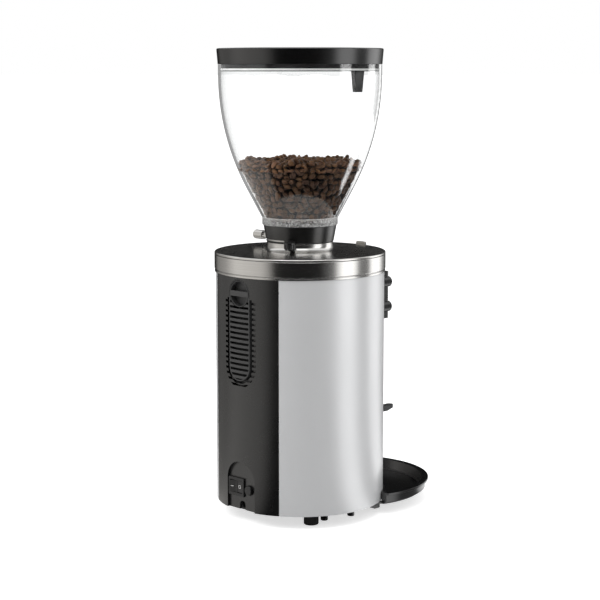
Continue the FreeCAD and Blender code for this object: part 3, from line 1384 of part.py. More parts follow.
# Fork clamp: ribbed thumb screw through the carriage
clamp_back = fork_back + s.carriage_depth + s.slide_gap
clamp_rib = s.clamp_radius * (math.pi / CLAMP_RIBS / 2)
clamp_ribs = []
for index in range(CLAMP_RIBS):
    angle = 360 / CLAMP_RIBS * index
    clamp_ribs.append(cylinder(
        clamp_rib, s.clamp_length + PASS, s.clamp_radius * cosine(angle),
        -clamp_back - s.clamp_length - PASS / 2, clamp_height + s.clamp_radius * sine(angle), TO_REAR))
piece("fork_clamp", fuse(
    cut(cylinder(s.clamp_radius, s.clamp_length, 0, -clamp_back - s.clamp_length, clamp_height, TO_REAR),
        *clamp_ribs),
    cylinder(s.clamp_screw_radius, s.carriage_depth + PASS / 2, 0, -clamp_back - PASS / 2 + s.slide_gap,
             clamp_height, TO_REAR)))

# Drip tray: round dish cut to the body, with a lug on each side that runs on a rail
tray_foot = panel_foot - s.tray_drop
tray_top = panel_foot + s.tray_rim_level
tray_side = tray_top - s.tray_rim_thickness
tray_clear = s.body_radius + s.tray_body_gap
tray_solid = turned([
    (0, tray_foot), (tray_foot_radius, tray_foot), (tray_wall_radius, tray_foot + s.tray_wall),
    (tray_wall_radius, tray_side), (tray_rim_radius, tray_side), (tray_rim_radius, tray_top), (0, tray_top)],
    0, -tray_centre)
tray_hollow = turned([
    (0, tray_foot + s.tray_floor), (tray_foot_radius - s.tray_wall, tray_foot + s.tray_floor),
    (tray_wall_radius - s.tray_wall, tray_top + PASS), (0, tray_top + PASS)], 0, -tray_centre)
tray_rear_wall = block((-cap_radius, cap_radius), (-s.tray_rear - s.tray_wall, cap_radius),
                       (tray_foot, tray_top + PASS))
tray_dish = cut(
    tray_solid,
    cut(tray_hollow, cylinder(tray_clear + s.tray_wall, s.body_height, 0, 0, tray_foot), tray_rear_wall),
    cylinder(tray_clear, s.body_height, 0, 0, tray_foot - PASS),
    block((-tray_rim_radius - PASS, tray_rim_radius + PASS), (-s.tray_rear, cap_radius),
          (tray_foot - PASS, tray_top + PASS)))
lug_top = tray_foot + s.tray_lug_thickness
lugs = mirrored(lambda side: plate([
    (tray_lug_inner * side, -s.tray_rear + s.tray_lug_length),
    (tray_lug_inner * side, -s.tray_rear - s.tray_wall),
    ((tray_lug_outer + s.tray_wall) * side, -s.tray_rear - s.tray_wall),
    (tray_lug_outer * side, -s.tray_rear + s.tray_lug_length)], s.tray_lug_thickness, 0, 0, tray_foot))
piece("drip_tray", fuse(tray_dish, *lugs))

# Tray rails: two angle brackets under the base that carry the lugs
rail_floor = base_foot - s.rail_drop
shelf_top = tray_foot - s.slide_gap
rails = []
for side in (1, -1):
    web_outer = tray_lug_inner - s.slide_gap
    web = plate([
        ((web_outer - s.rail_web) * side, -s.tray_rear + s.slide_gap * 3),
        (web_outer * side, -s.tray_rear + s.slide_gap * 3),
        (web_outer * side, -s.tray_rear + s.rail_length),
        ((web_outer - s.rail_web) * side, -s.tray_rear + s.rail_length)], s.rail_drop, 0, 0, rail_floor)
    shelf = plate([
        ((web_outer - s.rail_web) * side, -s.tray_rear + s.slide_gap * 3),
        (tray_lug_outer * side, -s.tray_rear + s.slide_gap * 3),
        (tray_lug_outer * side, -s.tray_rear + s.rail_length),
        ((web_outer - s.rail_web) * side, -s.tray_rear + s.rail_length)],
        shelf_top - rail_floor, 0, 0, rail_floor)
    rails.append(fuse(web, shelf))
piece("tray_rails", group(*rails))

# Run capacitor: can that lies on the base, with a saddle under it
capacitor_height = base_top + s.capacitor_radius + s.slide_gap
piece("run_capacitor", fuse(
    cylinder(s.capacitor_radius, s.capacitor_length, -s.capacitor_length / 2, capacitor_y, capacitor_height,
             TO_RIGHT),
    block((-s.capacitor_length / 4, s.capacitor_length / 4),
          (capacitor_y - s.capacitor_radius / 2, capacitor_y + s.capacitor_radius / 2),
          (base_top, capacitor_height))))

# Power board: circuit board on four posts with its transformer, relay and heat sink
power_foot = base_top + s.power_lift
power_top = power_foot + s.board_thickness
power_posts = []
for post_x in (s.power_half_width - s.board_post_inset, s.board_post_inset - s.power_half_width):
    for post_y in (-s.power_front + s.board_post_inset, -s.power_rear - s.board_post_inset):
        power_posts.append(cylinder(s.board_post_radius, s.power_lift, post_x, post_y, base_top))
power_middle = -(s.power_front + s.power_rear) / 2
piece("power_board", fuse(
    block((-s.power_half_width, s.power_half_width), (-s.power_front, -s.power_rear),
          (power_foot, power_top)),
    block((-s.power_half_width + s.board_post_inset * 2, -s.board_post_inset),
          (power_middle, -s.power_rear - s.board_post_inset * 2),
          (power_top, power_top + s.board_height * 0.75)),
    block((s.board_post_inset, s.power_half_width - s.board_post_inset * 2),
          (-s.power_front + s.board_post_inset * 2, power_middle - s.board_post_inset),
          (power_top, power_top + s.board_height / 2)),
    *power_posts))

doc.recompute()
faults = [thing.Label for thing in doc.Objects if {"Invalid", "Error"} & set(thing.State)]
faults += [thing.Label for thing in pieces if thing.Shape.isNull() or not thing.Shape.isValid()]
faults += [thing.Label for thing in pieces if thing.Shape.Volume <= 0]
if faults:
    raise RuntimeError("sub-parts that failed: " + ", ".join(sorted(set(faults))))

os.makedirs("parts", exist_ok=True)
for thing in pieces:
    thing.Shape.exportStep(f"parts/{thing.Label}.step")
    print(thing.Label, "solids", len(thing.Shape.Solids), "volume", round(thing.Shape.Volume))
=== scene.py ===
import json
import math
import random

import bmesh
import bpy
from mathutils import Euler, Matrix, Vector
from mathutils.bvhtree import BVHTree


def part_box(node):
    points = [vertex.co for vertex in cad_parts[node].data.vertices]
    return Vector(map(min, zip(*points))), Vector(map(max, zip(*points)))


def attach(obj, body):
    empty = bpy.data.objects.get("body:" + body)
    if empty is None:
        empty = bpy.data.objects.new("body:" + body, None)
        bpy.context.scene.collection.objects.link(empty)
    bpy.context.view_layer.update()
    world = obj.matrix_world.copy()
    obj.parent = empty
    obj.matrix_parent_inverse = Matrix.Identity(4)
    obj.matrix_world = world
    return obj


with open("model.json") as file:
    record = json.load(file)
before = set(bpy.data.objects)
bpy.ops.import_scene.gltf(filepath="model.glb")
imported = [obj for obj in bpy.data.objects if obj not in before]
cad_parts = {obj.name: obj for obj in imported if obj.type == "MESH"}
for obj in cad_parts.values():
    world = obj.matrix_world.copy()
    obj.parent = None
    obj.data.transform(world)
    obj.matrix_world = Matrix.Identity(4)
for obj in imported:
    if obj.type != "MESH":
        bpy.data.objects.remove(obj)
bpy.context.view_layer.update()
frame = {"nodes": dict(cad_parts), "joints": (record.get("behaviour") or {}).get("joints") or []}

# Frame: a pressed base with four steel columns, painted dark grey, and a cast deck above the motor.
# Paint and castings are matt, with a faint orange-peel surface and edges broken by hand.
GRAIN_SIZE = 0.0006
GRAIN_DEPTH = 0.00002
PATCH_SIZE = 0.03
EDGE_RADIUS = 0.0004
# Painted shade in seams: its reach, its limits and the share of the colour it leaves
SEAM_REACH = 0.0025
SEAM_LIMITS = (0.15, 0.85)
SEAM_SHARE = 0.35
NOISE_MIDDLE = (0.3, 0.7)
WHOLE = (0.0, 1.0)
WHITE = (1.0, 1.0, 1.0)


def add(tree, kind, inputs=(), **settings):
    """A shader node with its settings; an input is a plain value or another node's output."""
    node = tree.nodes.new("ShaderNode" + kind)
    for name, value in settings.items():
        setattr(node, name, value)
    for socket, value in dict(inputs).items():
        if isinstance(value, bpy.types.NodeSocket):
            tree.links.new(value, node.inputs[socket])
        else:
            node.inputs[socket].default_value = value
    return node


def worked(tree, operation, *values):
    """A sum worked out at each point of a surface."""
    return add(tree, "Math", dict(enumerate(values)), operation=operation).outputs[0]


def ranged(tree, value, limits, results):
    """Takes a value between two limits to a range of results."""
    return add(tree, "MapRange", dict(enumerate((value, *limits, *results)))).outputs[0]


def feed(tree, node, sources):
    """Links a node's inputs, by name, to what feeds them."""
    for socket, source in sources.items():
        tree.links.new(source, node.inputs[socket])


def effect(name, inputs, outputs):
    """An empty surface effect: its node tree, the sockets it reads and the node that it fills."""
    tree = bpy.data.node_groups.new(name, "ShaderNodeTree")
    for label, amount in inputs.items():
        socket = tree.interface.new_socket(label, in_out="INPUT", socket_type="NodeSocketFloat")
        socket.default_value = amount
    for label, kind in outputs.items():
        tree.interface.new_socket(label, in_out="OUTPUT", socket_type="NodeSocket" + kind)
    return tree, tree.nodes.new("NodeGroupInput").outputs, tree.nodes.new("NodeGroupOutput")


# Fine grain of a mould or a coat of paint, and the slow mottle of a surface that was handled
surface_grain, told, given = effect("surface_grain", {"Grain": GRAIN_SIZE, "Patch": PATCH_SIZE},
                                    {"Height": "Float", "Mottle": "Float", "Film": "Float"})
at = add(surface_grain, "TexCoord").outputs["Object"]
for label, size, detail in (("Height", "Grain", 2.0), ("Mottle", "Grain", 4.0), ("Film", "Patch", 3.0)):
    per_metre = worked(surface_grain, "DIVIDE", 1.0, told[size])
    noise = add(surface_grain, "TexNoise", {"Vector": at, "Scale": per_metre, "Detail": detail})
    feed(surface_grain, given, {label: noise.outputs[0]})

# Edges broken to a small radius
broken_edge, told, given = effect("broken_edge", {"Radius": EDGE_RADIUS}, {"Normal": "Vector"})
rounding = add(broken_edge, "Bevel", {"Radius": told["Radius"]}, samples=4)
feed(broken_edge, given, {"Normal": rounding.outputs[0]})

# Painted shade in seams and grooves, from how open a point is to light: 0 deep inside one, 1 in the open
painted_seam_shade, told, given = effect("painted_seam_shade", {"Reach": SEAM_REACH}, {"Unshaded": "Float"})
open_sky = add(painted_seam_shade, "AmbientOcclusion", {"Distance": told["Reach"]}, samples=4).outputs["AO"]
feed(painted_seam_shade, given, {"Unshaded": ranged(painted_seam_shade, open_sky, SEAM_LIMITS, WHOLE)})


def use(tree, group, **inputs):
    """Places a surface effect in a material with its own values, and gives what it puts out."""
    node = tree.nodes.new("ShaderNodeGroup")
    node.node_tree = group
    for name, value in inputs.items():
        node.inputs[name].default_value = value
    return node.outputs


def tint(tree, mask, dark, light, places=NOISE_MIDDLE):
    """Takes a mask, or the middle of a noise, to a range between two colours."""
    ramp = add(tree, "ValToRGB", {0: mask})
    for stop, place, colour in zip(ramp.color_ramp.elements, places, (dark, light)):
        stop.position = place
        stop.color = (*colour, 1.0)
    return ramp.outputs[0]


def multiplied(tree, colour, shade):
    """A colour darkened by another."""
    mix = add(tree, "Mix", {0: 1.0, 6: colour, 7: shade}, data_type="RGBA", blend_type="MULTIPLY")
    return mix.outputs[2]


def with_painted_shade(tree, colour, unshaded, share):
    """A colour darkened to a share of itself where it is shaded: painted shade in seams."""
    return multiplied(tree, colour, tint(tree, unshaded, (share, share, share), WHITE, WHOLE))


def relief(tree, depth, height, edges=None):
    """Fine relief of a given depth, on edges that may be broken."""
    under = {} if edges is None else {"Normal": edges}
    return add(tree, "Bump", {"Strength": 1.0, "Distance": depth, "Height": height, **under}).outputs[0]


def blank_skin(name):
    """A new material, its node tree and its shader."""
    skin = bpy.data.materials.new(name)
    skin.use_nodes = True
    return skin, skin.node_tree, skin.node_tree.nodes["Principled BSDF"]


def finish(name, dark, light, rough, metallic=0.0, grain=GRAIN_SIZE, depth=GRAIN_DEPTH, edge=EDGE_RADIUS,
           patch=PATCH_SIZE, seam_shade_share=SEAM_SHARE, gloss=0.5):
    """A grained finish: two colours, a range of roughness, the grain's size and depth, the edge radius,
    the size of the handled patches, the share of the colour left in seams as painted shade, and the strength
    of the gloss."""
    skin, tree, shader = blank_skin(name)
    shader.inputs["Metallic"].default_value = metallic
    shader.inputs["Specular IOR Level"].default_value = gloss
    marks = use(tree, surface_grain, Grain=grain, Patch=patch)
    edges = use(tree, broken_edge, Radius=edge)["Normal"]
    unshaded = use(tree, painted_seam_shade, Reach=SEAM_REACH)["Unshaded"]
    film = ranged(tree, marks["Film"], NOISE_MIDDLE, rough)
    # Base colour darkened in seams as painted shade; seams also go rough
    feed(tree, shader, {
        "Base Color": with_painted_shade(tree, tint(tree, marks["Mottle"], dark, light), unshaded, seam_shade_share),
        "Roughness": ranged(tree, unshaded, WHOLE, (1.0, film)),
        "Normal": relief(tree, depth, marks["Height"], edges)})
    return skin


def dress(skin, *nodes):
    """Gives CAD nodes a finish."""
    for node in nodes:
        slots = frame["nodes"][node].data.materials
        slots.clear()
        slots.append(skin)


painted_frame = finish("painted_frame", (0.030, 0.031, 0.033), (0.042, 0.043, 0.045), (0.42, 0.55),
                       grain=0.0012, depth=0.00004)
cast_aluminium = finish("cast_aluminium", (0.42, 0.42, 0.41), (0.56, 0.56, 0.55), (0.36, 0.5), metallic=0.9,
                        grain=0.0008, depth=0.00006)
dress(painted_frame, "base_plate", "frame_columns")
dress(cast_aluminium, "deck_plate")

# Feet: soft black rubber, each pushed into the base by its stem, beside four moulded black studs.
# The drip tray hangs on two moulded rails screwed to the base.
foot_rubber = finish("foot_rubber", (0.012, 0.012, 0.012), (0.020, 0.020, 0.020), (0.6, 0.75),
                     grain=0.0009, depth=0.00005, edge=0.0006)
black_moulding = finish("black_moulding", (0.0024, 0.0024, 0.0026), (0.0040, 0.0040, 0.0042), (0.24, 0.31),
                        grain=0.0007, depth=0.000010, edge=0.0005, gloss=0.95)
dress(foot_rubber, "rubber_feet")
dress(black_moulding, "base_studs", "tray_rails")

# Motor: a painted steel can with a cast end bell, laminated cores, a ground shaft and two bearings.
# It hangs under the deck on its own flange.
core_steel = finish("core_steel", (0.20, 0.20, 0.21), (0.28, 0.28, 0.29), (0.35, 0.5), metallic=1.0,
                    grain=0.0005, depth=0.00003)
turned_steel = finish("turned_steel", (0.60, 0.59, 0.57), (0.68, 0.67, 0.65), (0.16, 0.24), metallic=1.0,
                      grain=0.0004, depth=0.000006, edge=0.0003)
dress(painted_frame, "motor_housing")
dress(cast_aluminium, "motor_end_bell")
dress(core_steel, "stator_core", "rotor_core")
dress(turned_steel, "motor_shaft", "motor_bearings")

# Grinding chamber: castings turned to fit, with two hardened flat burrs and the bolt that holds the
# lower one. The upper carrier climbs in the adjusting ring when the lever is turned.
burr_steel = finish("burr_steel", (0.34, 0.33, 0.31), (0.46, 0.45, 0.43), (0.22, 0.34), metallic=1.0,
                    grain=0.0005, depth=0.00002, edge=0.0002)
dress(cast_aluminium, "grinding_chamber", "lower_burr_carrier", "upper_burr_carrier", "adjusting_ring",
      "outlet_chute")
dress(burr_steel, "lower_burr", "upper_burr", "carrier_bolt")

# Fan behind the grille: a rotor in its frame and duct, all moulded in black. In front of it stands a
# dust screen of woven wire, held in the duct.
WIRE_PITCH = 0.0012
WIRE_LIMITS = (0.1, 0.8)
WIRE_RELIEF = 0.0002


def coordinates(tree):
    """The X, Y and Z of each point of a surface, in the row frame."""
    return add(tree, "SeparateXYZ", {0: add(tree, "TexCoord").outputs["Object"]}).outputs


dress(black_moulding, "fan_duct", "fan_frame", "fan_rotor")
dust_screen, weave, screen = blank_skin("dust_screen")
screen.inputs["Metallic"].default_value = 0.6
screen.inputs["Roughness"].default_value = 0.55
wires = [worked(weave, "SINE", worked(weave, "MULTIPLY", way, 2 * math.pi / WIRE_PITCH))
         for way in (coordinates(weave)[i] for i in (0, 2))]
wire = ranged(weave, worked(weave, "MAXIMUM", *wires), WIRE_LIMITS, WHOLE)
feed(weave, screen, {"Base Color": tint(weave, wire, (0.008, 0.008, 0.008), (0.04, 0.04, 0.04)),
                     "Normal": relief(weave, WIRE_RELIEF, wire)})
dress(dust_screen, "dust_filter")

# Power parts on the base: a run capacitor in an aluminium can, the mains board and the thermal cut-out.
# The control board stands behind the display. Both boards are glass fibre under green lacquer.
board_green = finish("board_green", (0.010, 0.045, 0.022), (0.016, 0.065, 0.030), (0.30, 0.42), grain=0.002,
                     depth=0.00004, edge=0.0002)
dress(cast_aluminium, "run_capacitor")
dress(board_green, "power_board", "control_board")
dress(black_moulding, "reset_breaker")

# Side panels: sheet bent round the body and sprayed with fine silver, so they shine softly.
# The flake shows only close up.
silver_panel = finish("silver_panel", (0.715, 0.720, 0.728), (0.765, 0.770, 0.778), (0.30, 0.36),
                      metallic=0.32, grain=0.0003, depth=0.000008, patch=0.06)
dress(silver_panel, "side_panel_left", "side_panel_right")

# Rear and front panels: black mouldings that hook between the silver ones. The rear one holds the
# grille, the arched recess for the switch, and the notch for the cord with its rubber gland.
dress(black_moulding, "rear_panel", "front_panel")
dress(foot_rubber, "cable_gland")

# Filter cover: a slatted pill that lifts out of the grille, with the round latch knob on top, both
# moulded in black and painted a little greyer than the panel round them, as painted light on the slats.
painted_light_moulding = finish("painted_light_moulding", (0.032, 0.032, 0.0325), (0.042, 0.042, 0.0425), (0.38, 0.46),
                       grain=0.0007, depth=0.000025, edge=0.0005)
dress(painted_light_moulding, "filter_cover", "latch_knob")

# Mains switch and thermal cut-out: glossier black mouldings. The rocker has a bar and a ring printed
# in white, raised here by a tenth of a millimetre.
MARK_RISE = 0.0001
MARK_OUT = 0.0052
BAR_HALF_LENGTH = 0.0015
BAR_HALF_HEIGHT = 0.0004
RING_OUTER = 0.0021
RING_INNER = 0.0014
MARK_POINTS = 32
CLEAR_OF_ROCKER = 0.1

black_gloss = finish("black_gloss", (0.0080, 0.0080, 0.0085), (0.0120, 0.0120, 0.0125), (0.20, 0.28),
                     grain=0.0009, depth=0.000006)
dress(black_gloss, "switch_body", "switch_rocker", "reset_button")


def new_piece(name, form, skin, body, smooth=True):
    """Turns a bmesh into a piece of the object, in the row frame, that rides on a body."""
    mesh = bpy.data.meshes.new(name)
    form.to_mesh(mesh)
    form.free()
    for face in mesh.polygons:
        face.use_smooth = smooth
    mesh.materials.append(skin)
    piece = bpy.data.objects.new(name, mesh)
    bpy.context.scene.collection.objects.link(piece)
    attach(piece, body)
    return piece


def skin_of(node):
    """A node's faces, to find where a line meets them."""
    mesh = frame["nodes"][node].data
    return BVHTree.FromPolygons([v.co for v in mesh.vertices], [face.vertices for face in mesh.polygons])


def stadium(half_length, radius):
    """The points of a circle that is drawn out sideways, or of a plain circle."""
    points = []
    for i in range(MARK_POINTS):
        turn = 2 * math.pi * (i + 0.5) / MARK_POINTS
        side = math.copysign(half_length, math.cos(turn))
        points.append((side + radius * math.cos(turn), radius * math.sin(turn)))
    return points


def printed_mark(outer, inner=()):
    """A raised print in the XZ plane: its outline and, for a ring, the outline of its hole."""
    form = bmesh.new()
    back, front = ([[form.verts.new((x, y, z)) for x, z in loop] for loop in (outer, inner)]
                   for y in (0.0, MARK_RISE))
    for i in range(MARK_POINTS):
        j = (i + 1) % MARK_POINTS
        form.faces.new((back[0][i], front[0][i], front[0][j], back[0][j]))
        if inner:
            form.faces.new((back[1][j], front[1][j], front[1][i], back[1][i]))
            form.faces.new((front[0][i], front[1][i], front[1][j], front[0][j]))
            form.faces.new((back[0][j], back[1][j], back[1][i], back[0][i]))
    if not inner:
        form.faces.new(front[0])
        form.faces.new(back[0][::-1])
    bmesh.ops.recalc_face_normals(form, faces=form.faces)
    return form


print_white = finish("print_white", (0.52, 0.52, 0.51), (0.60, 0.60, 0.59), (0.4, 0.5), grain=0.0004)
rocker_skin = skin_of("switch_rocker")
rocker_pivot = Vector(next(joint["pos_m"] for joint in frame["joints"] if joint["name"] == "power_rocker"))
bar = printed_mark(stadium(BAR_HALF_LENGTH, BAR_HALF_HEIGHT))
ring = printed_mark(stadium(0.0, RING_OUTER), stadium(0.0, RING_INNER))
for name, mark, out in (("rocker_bar_mark", bar, MARK_OUT), ("rocker_ring_mark", ring, -MARK_OUT)):
    from_outside = rocker_pivot + Vector((out, CLEAR_OF_ROCKER, 0.0))
    spot, facing, _, _ = rocker_skin.ray_cast(from_outside, Vector((0.0, -1.0, 0.0)))
    sideways = facing.cross(Vector((0.0, 0.0, 1.0))).normalized()
    upright = sideways.cross(facing)
    place = Matrix((sideways, facing, upright)).transposed().to_4x4()
    place.translation = spot
    bmesh.ops.transform(mark, matrix=place, verts=mark.verts)
    new_piece(name, mark, print_white, "rocker", smooth=False)

# Display at the front: a black moulded housing on the front panel, with a dark glass let into its face
# and two black buttons on each side of it.
screen_glass = finish("screen_glass", (0.0035, 0.0035, 0.0040), (0.0055, 0.0055, 0.0060), (0.05, 0.09),
                      grain=0.004, depth=0.000004, edge=0.0003)
dress(black_moulding, "display_housing")
dress(black_gloss, "button_high_left", "button_high_right", "button_low_left", "button_low_right")
dress(screen_glass, "display_glass")

# Spout, fork rail and clamp knob: black mouldings fixed to the front panel. The portafilter fork is a
# steel casting painted black, which slides on the rail.
dress(black_moulding, "spout", "fork_rail", "fork_clamp")
dress(painted_frame, "portafilter_fork")

# Drip tray: one black moulding with a smooth, wiped surface, half round. It hangs on the rails by its
# lugs and pulls out to the front.
tray_black = finish("tray_black", (0.0010, 0.0010, 0.0012), (0.0018, 0.0018, 0.0020), (0.20, 0.26),
                    grain=0.0008, depth=0.000006, edge=0.0006, gloss=0.9)
dress(tray_black, "drip_tray")

# Cap: a band and a cover turned from steel and polished, so the tool marks run round the axis.
# The lever of the grind setting comes out through a slot in the band.
TOOL_PITCH = 0.0007
TOOL_DEPTH = 0.000004
POLISH_ROUGHNESS = (0.18, 0.22)
CAP_SEAM_REACH = 0.0016
CAP_SEAM_SHARE = 0.06
hopper_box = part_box("hopper")
BODY_AXIS_Y = (hopper_box[0][1] + hopper_box[1][1]) / 2

turning, told, given = effect("turning_marks", {"Pitch": TOOL_PITCH, "Axis Y": BODY_AXIS_Y},
                              {"Height": "Float", "Shade": "Float"})
x, y, z = coordinates(turning)
from_axis = worked(turning, "SUBTRACT", y, told["Axis Y"])
squared = worked(turning, "MULTIPLY_ADD", x, x, worked(turning, "MULTIPLY", from_axis, from_axis))
along = worked(turning, "ADD", worked(turning, "POWER", squared, 0.5), z)
along = worked(turning, "DIVIDE", along, told["Pitch"])
lines = add(turning, "TexNoise", {"W": along, "Scale": 1.0, "Detail": 3.0}, noise_dimensions="1D").outputs[0]
feed(turning, given, {"Height": lines, "Shade": lines})

polished_steel, polish, steel = blank_skin("polished_steel")
steel.inputs["Metallic"].default_value = 1.0
marks = use(polish, turning, Pitch=TOOL_PITCH)
film = use(polish, surface_grain, Grain=0.001, Patch=0.05)["Film"]
edges = use(polish, broken_edge, Radius=0.0005)["Normal"]
# Painted shade: the cap's grooves and seams are darkened nearly to black
unshaded = use(polish, painted_seam_shade, Reach=CAP_SEAM_REACH)["Unshaded"]
bright = tint(polish, marks["Shade"], (0.62, 0.61, 0.59), (0.68, 0.67, 0.65))
feed(polish, steel, {
    "Base Color": with_painted_shade(polish, bright, unshaded, CAP_SEAM_SHARE),
    "Roughness": ranged(polish, film, NOISE_MIDDLE, POLISH_ROUGHNESS),
    "Normal": relief(polish, TOOL_DEPTH, marks["Height"], edges)})
dress(polished_steel, "cap_band", "top_cover")
dress(burr_steel, "grind_lever")

# Hopper collar: a black moulding with the steel shutter in its slot, the shutter's turned knob on one
# side, and a ribbed knob below that locks the hopper.
half_gloss = finish("half_gloss", (0.0018, 0.0018, 0.0020), (0.0030, 0.0030, 0.0032), (0.20, 0.26),
                    grain=0.0008, depth=0.000008, edge=0.0006, gloss=1.0)
dress(half_gloss, "hopper_collar", "hopper_lock_knob")
dress(turned_steel, "shutter_plate", "shutter_knob")

# Hopper: clear plastic blown as a bell, greyer where it is seen edge on. In the thick flange at its foot
# the flow of the plastic left a wavy, frosted surface, which glows with painted light at its lips and in
# sparkles.
CLEAR_IOR = 1.49
FACE_ON = (0.99, 0.995, 0.995)
EDGE_ON = (0.40, 0.41, 0.41)
EDGE_LIMITS = (0.82, 0.99)
FLANGE_LOW = 0.3345
FLANGE_HIGH = 0.3445
FLANGE_WAVE = 0.0022
FLANGE_RIPPLE = 0.0022
FLANGE_FROST = 0.03
FLANGE_GLOW = 0.125
FLANGE_LIP_GLOW = 0.21
LIP_LIMITS = (0.0036, 0.0048)
SPARKLE_LIMITS = (0.45, 0.60)
PAINTED_FLANGE_LIGHT = (1.0, 1.0, 0.98)

clear_hopper, clear, plastic = blank_skin("clear_hopper")
plastic.inputs["Transmission Weight"].default_value = 1.0
plastic.inputs["IOR"].default_value = CLEAR_IOR
plastic.inputs["Emission Strength"].default_value = 1.0
edge_on = add(clear, "LayerWeight", {0: 0.5}).outputs["Facing"]
height = coordinates(clear)[2]
above_foot = worked(clear, "GREATER_THAN", height, FLANGE_LOW)
below_bell = worked(clear, "LESS_THAN", height, FLANGE_HIGH)
in_flange = worked(clear, "MULTIPLY", above_foot, below_bell)
flow = use(clear, surface_grain, Grain=FLANGE_WAVE)["Height"]
# Painted light: the flange glows at its lips and in sparkles, with no lamp there
from_middle = worked(clear, "SUBTRACT", height, (FLANGE_LOW + FLANGE_HIGH) / 2)
at_lips = ranged(clear, worked(clear, "ABSOLUTE", from_middle), LIP_LIMITS, (0.0, FLANGE_LIP_GLOW))
sparkle = ranged(clear, flow, SPARKLE_LIMITS, (0.0, FLANGE_GLOW))
painted_flange_glow = worked(clear, "MULTIPLY", worked(clear, "MAXIMUM", at_lips, sparkle), in_flange)
feed(clear, plastic, {
    "Base Color": tint(clear, edge_on, FACE_ON, EDGE_ON, EDGE_LIMITS),
    "Roughness": worked(clear, "MULTIPLY", in_flange, FLANGE_FROST),
    "Normal": relief(clear, FLANGE_RIPPLE, worked(clear, "MULTIPLY", flow, in_flange)),
    "Emission Color": tint(clear, painted_flange_glow, (0.0, 0.0, 0.0), PAINTED_FLANGE_LIGHT, WHOLE)})

# Light passes it without a hard shadow
through = add(clear, "BsdfTransparent").outputs[0]
to_lamp = add(clear, "LightPath").outputs["Is Shadow Ray"]
mixed = add(clear, "MixShader", {0: to_lamp, 1: plastic.outputs[0], 2: through}).outputs[0]
feed(clear, clear.nodes["Material Output"], {"Surface": mixed})
dress(clear_hopper, "hopper")

# Beans: about a kilogram of dark roast lies in the hopper, against its wall and in a low mound.
# Each bean is domed on one side and creased on the other.
BEAN_SEED = 7
BEAN_LONG = 0.0040
BEAN_WIDE = 0.0032
BEAN_THICK = 0.0026
BEAN_STEP = 0.0064
BEAN_GAP = 0.0004
BEAN_FLOOR = 0.3425
BEAN_TOP = 0.4055
SIZE_SPREAD = (0.9, 1.1)
ROUND = [math.radians(a) for a in (0, 36, 72, 108, 144, 180, 210, 246, 264, 276, 294, 330)]
ALONG = [math.radians(a) for a in (-62, -32, 0, 32, 62)]
BLUNTNESS = 0.8
FLAT_SHARE = 0.45
CREASE_DEPTH = 0.42
CREASE_WIDTH = 0.2
MIDDLE_DROP = 0.2
END_REACH = 1.02
END_DROP = 0.1
ROAST_TONE = (0.142, 0.074, 0.040)
ROAST_SPREAD = (0.65, 1.35)
BLUE_SPREAD = (0.85, 1.1)

draw = random.Random(BEAN_SEED)
hopper_skin = skin_of("hopper")
axis = Vector((0.0, BODY_AXIS_Y, 0.0))


def hopper_inside(z):
    """Radius of the hopper's inner wall at a height, and its lean from the upright."""
    spot, facing, _, _ = hopper_skin.ray_cast(axis + Vector((0.0, 0.0, z)), Vector((1.0, 0.0, 0.0)))
    return spot.x, math.asin(abs(facing.z))


def either(amount):
    """A random amount to either side."""
    return draw.uniform(-amount, amount)


def laid(turn, out, height, lean, tumble):
    """A bean's place about the axis: mostly dome out, else crease out, at a small angle to the lean."""
    flip = Matrix.Rotation(draw.choice((0.0, 0.0, 0.0, math.pi)), 4, "X")
    tilt = Euler((either(tumble), either(tumble), 0.0)).to_matrix().to_4x4()
    spun = Matrix.Rotation(draw.uniform(0.0, math.pi), 4, "Z")
    return (Matrix.Translation(axis) @ Matrix.Rotation(turn, 4, "Z") @ Matrix.Translation((out, 0.0, height))
            @ Matrix.Rotation(lean, 4, "Y") @ tilt @ flip @ spun)


def bean(form, place, shade, painted_light_level):
    """One bean: rings along its length, domed above, flat and creased below."""
    # A bean's tone varies at random, times its level of painted light
    level = painted_light_level * draw.uniform(*ROAST_SPREAD)
    red, green, blue = (part * level for part in ROAST_TONE)
    tone = (red, green, blue * draw.uniform(*BLUE_SPREAD), 1.0)
    stretch = [draw.uniform(*SIZE_SPREAD) for _ in range(3)]
    long, wide, thick = BEAN_LONG * stretch[0], BEAN_WIDE * stretch[1], BEAN_THICK * stretch[2]
    rings = []
    for lean in ALONG:
        ring = []
        for turn in ROUND:
            y = math.cos(lean) ** BLUNTNESS * math.cos(turn)
            z = math.cos(lean) ** BLUNTNESS * math.sin(turn)
            if z < 0:
                crease = math.exp(-(y / CREASE_WIDTH) ** 2)
                z = FLAT_SHARE * z + CREASE_DEPTH * crease * math.cos(lean)
            spot = Vector((math.sin(lean) * long, y * wide, (z - MIDDLE_DROP) * thick))
            ring.append(form.verts.new(place @ spot))
        rings.append(ring)
    tips = [Vector((end * long * END_REACH, 0.0, -END_DROP * thick)) for end in (-1, 1)]
    ends = [form.verts.new(place @ tip) for tip in tips]
    count = len(ROUND)
    faces = []
    for i in range(count):
        j = (i + 1) % count
        faces.append(form.faces.new((rings[0][j], rings[0][i], ends[0])))
        faces.append(form.faces.new((rings[-1][i], rings[-1][j], ends[1])))
        for low, high in zip(rings, rings[1:]):
            faces.append(form.faces.new((low[i], low[j], high[j], high[i])))
    for face in faces:
        for corner in face.loops:
            corner[shade] = tone


# Against the wall they lie in two layers, flat on the plastic, painted darker as painted shade
WALL_LAYERS = (BEAN_THICK + BEAN_GAP, 3.2 * BEAN_THICK)
WALL_SPACING = 2.25 * BEAN_WIDE
WALL_SHIFT = 0.24
WALL_WAVER = 0.0022
WALL_TUMBLE = 0.42
WALL_PAINTED_SHADE = 0.68

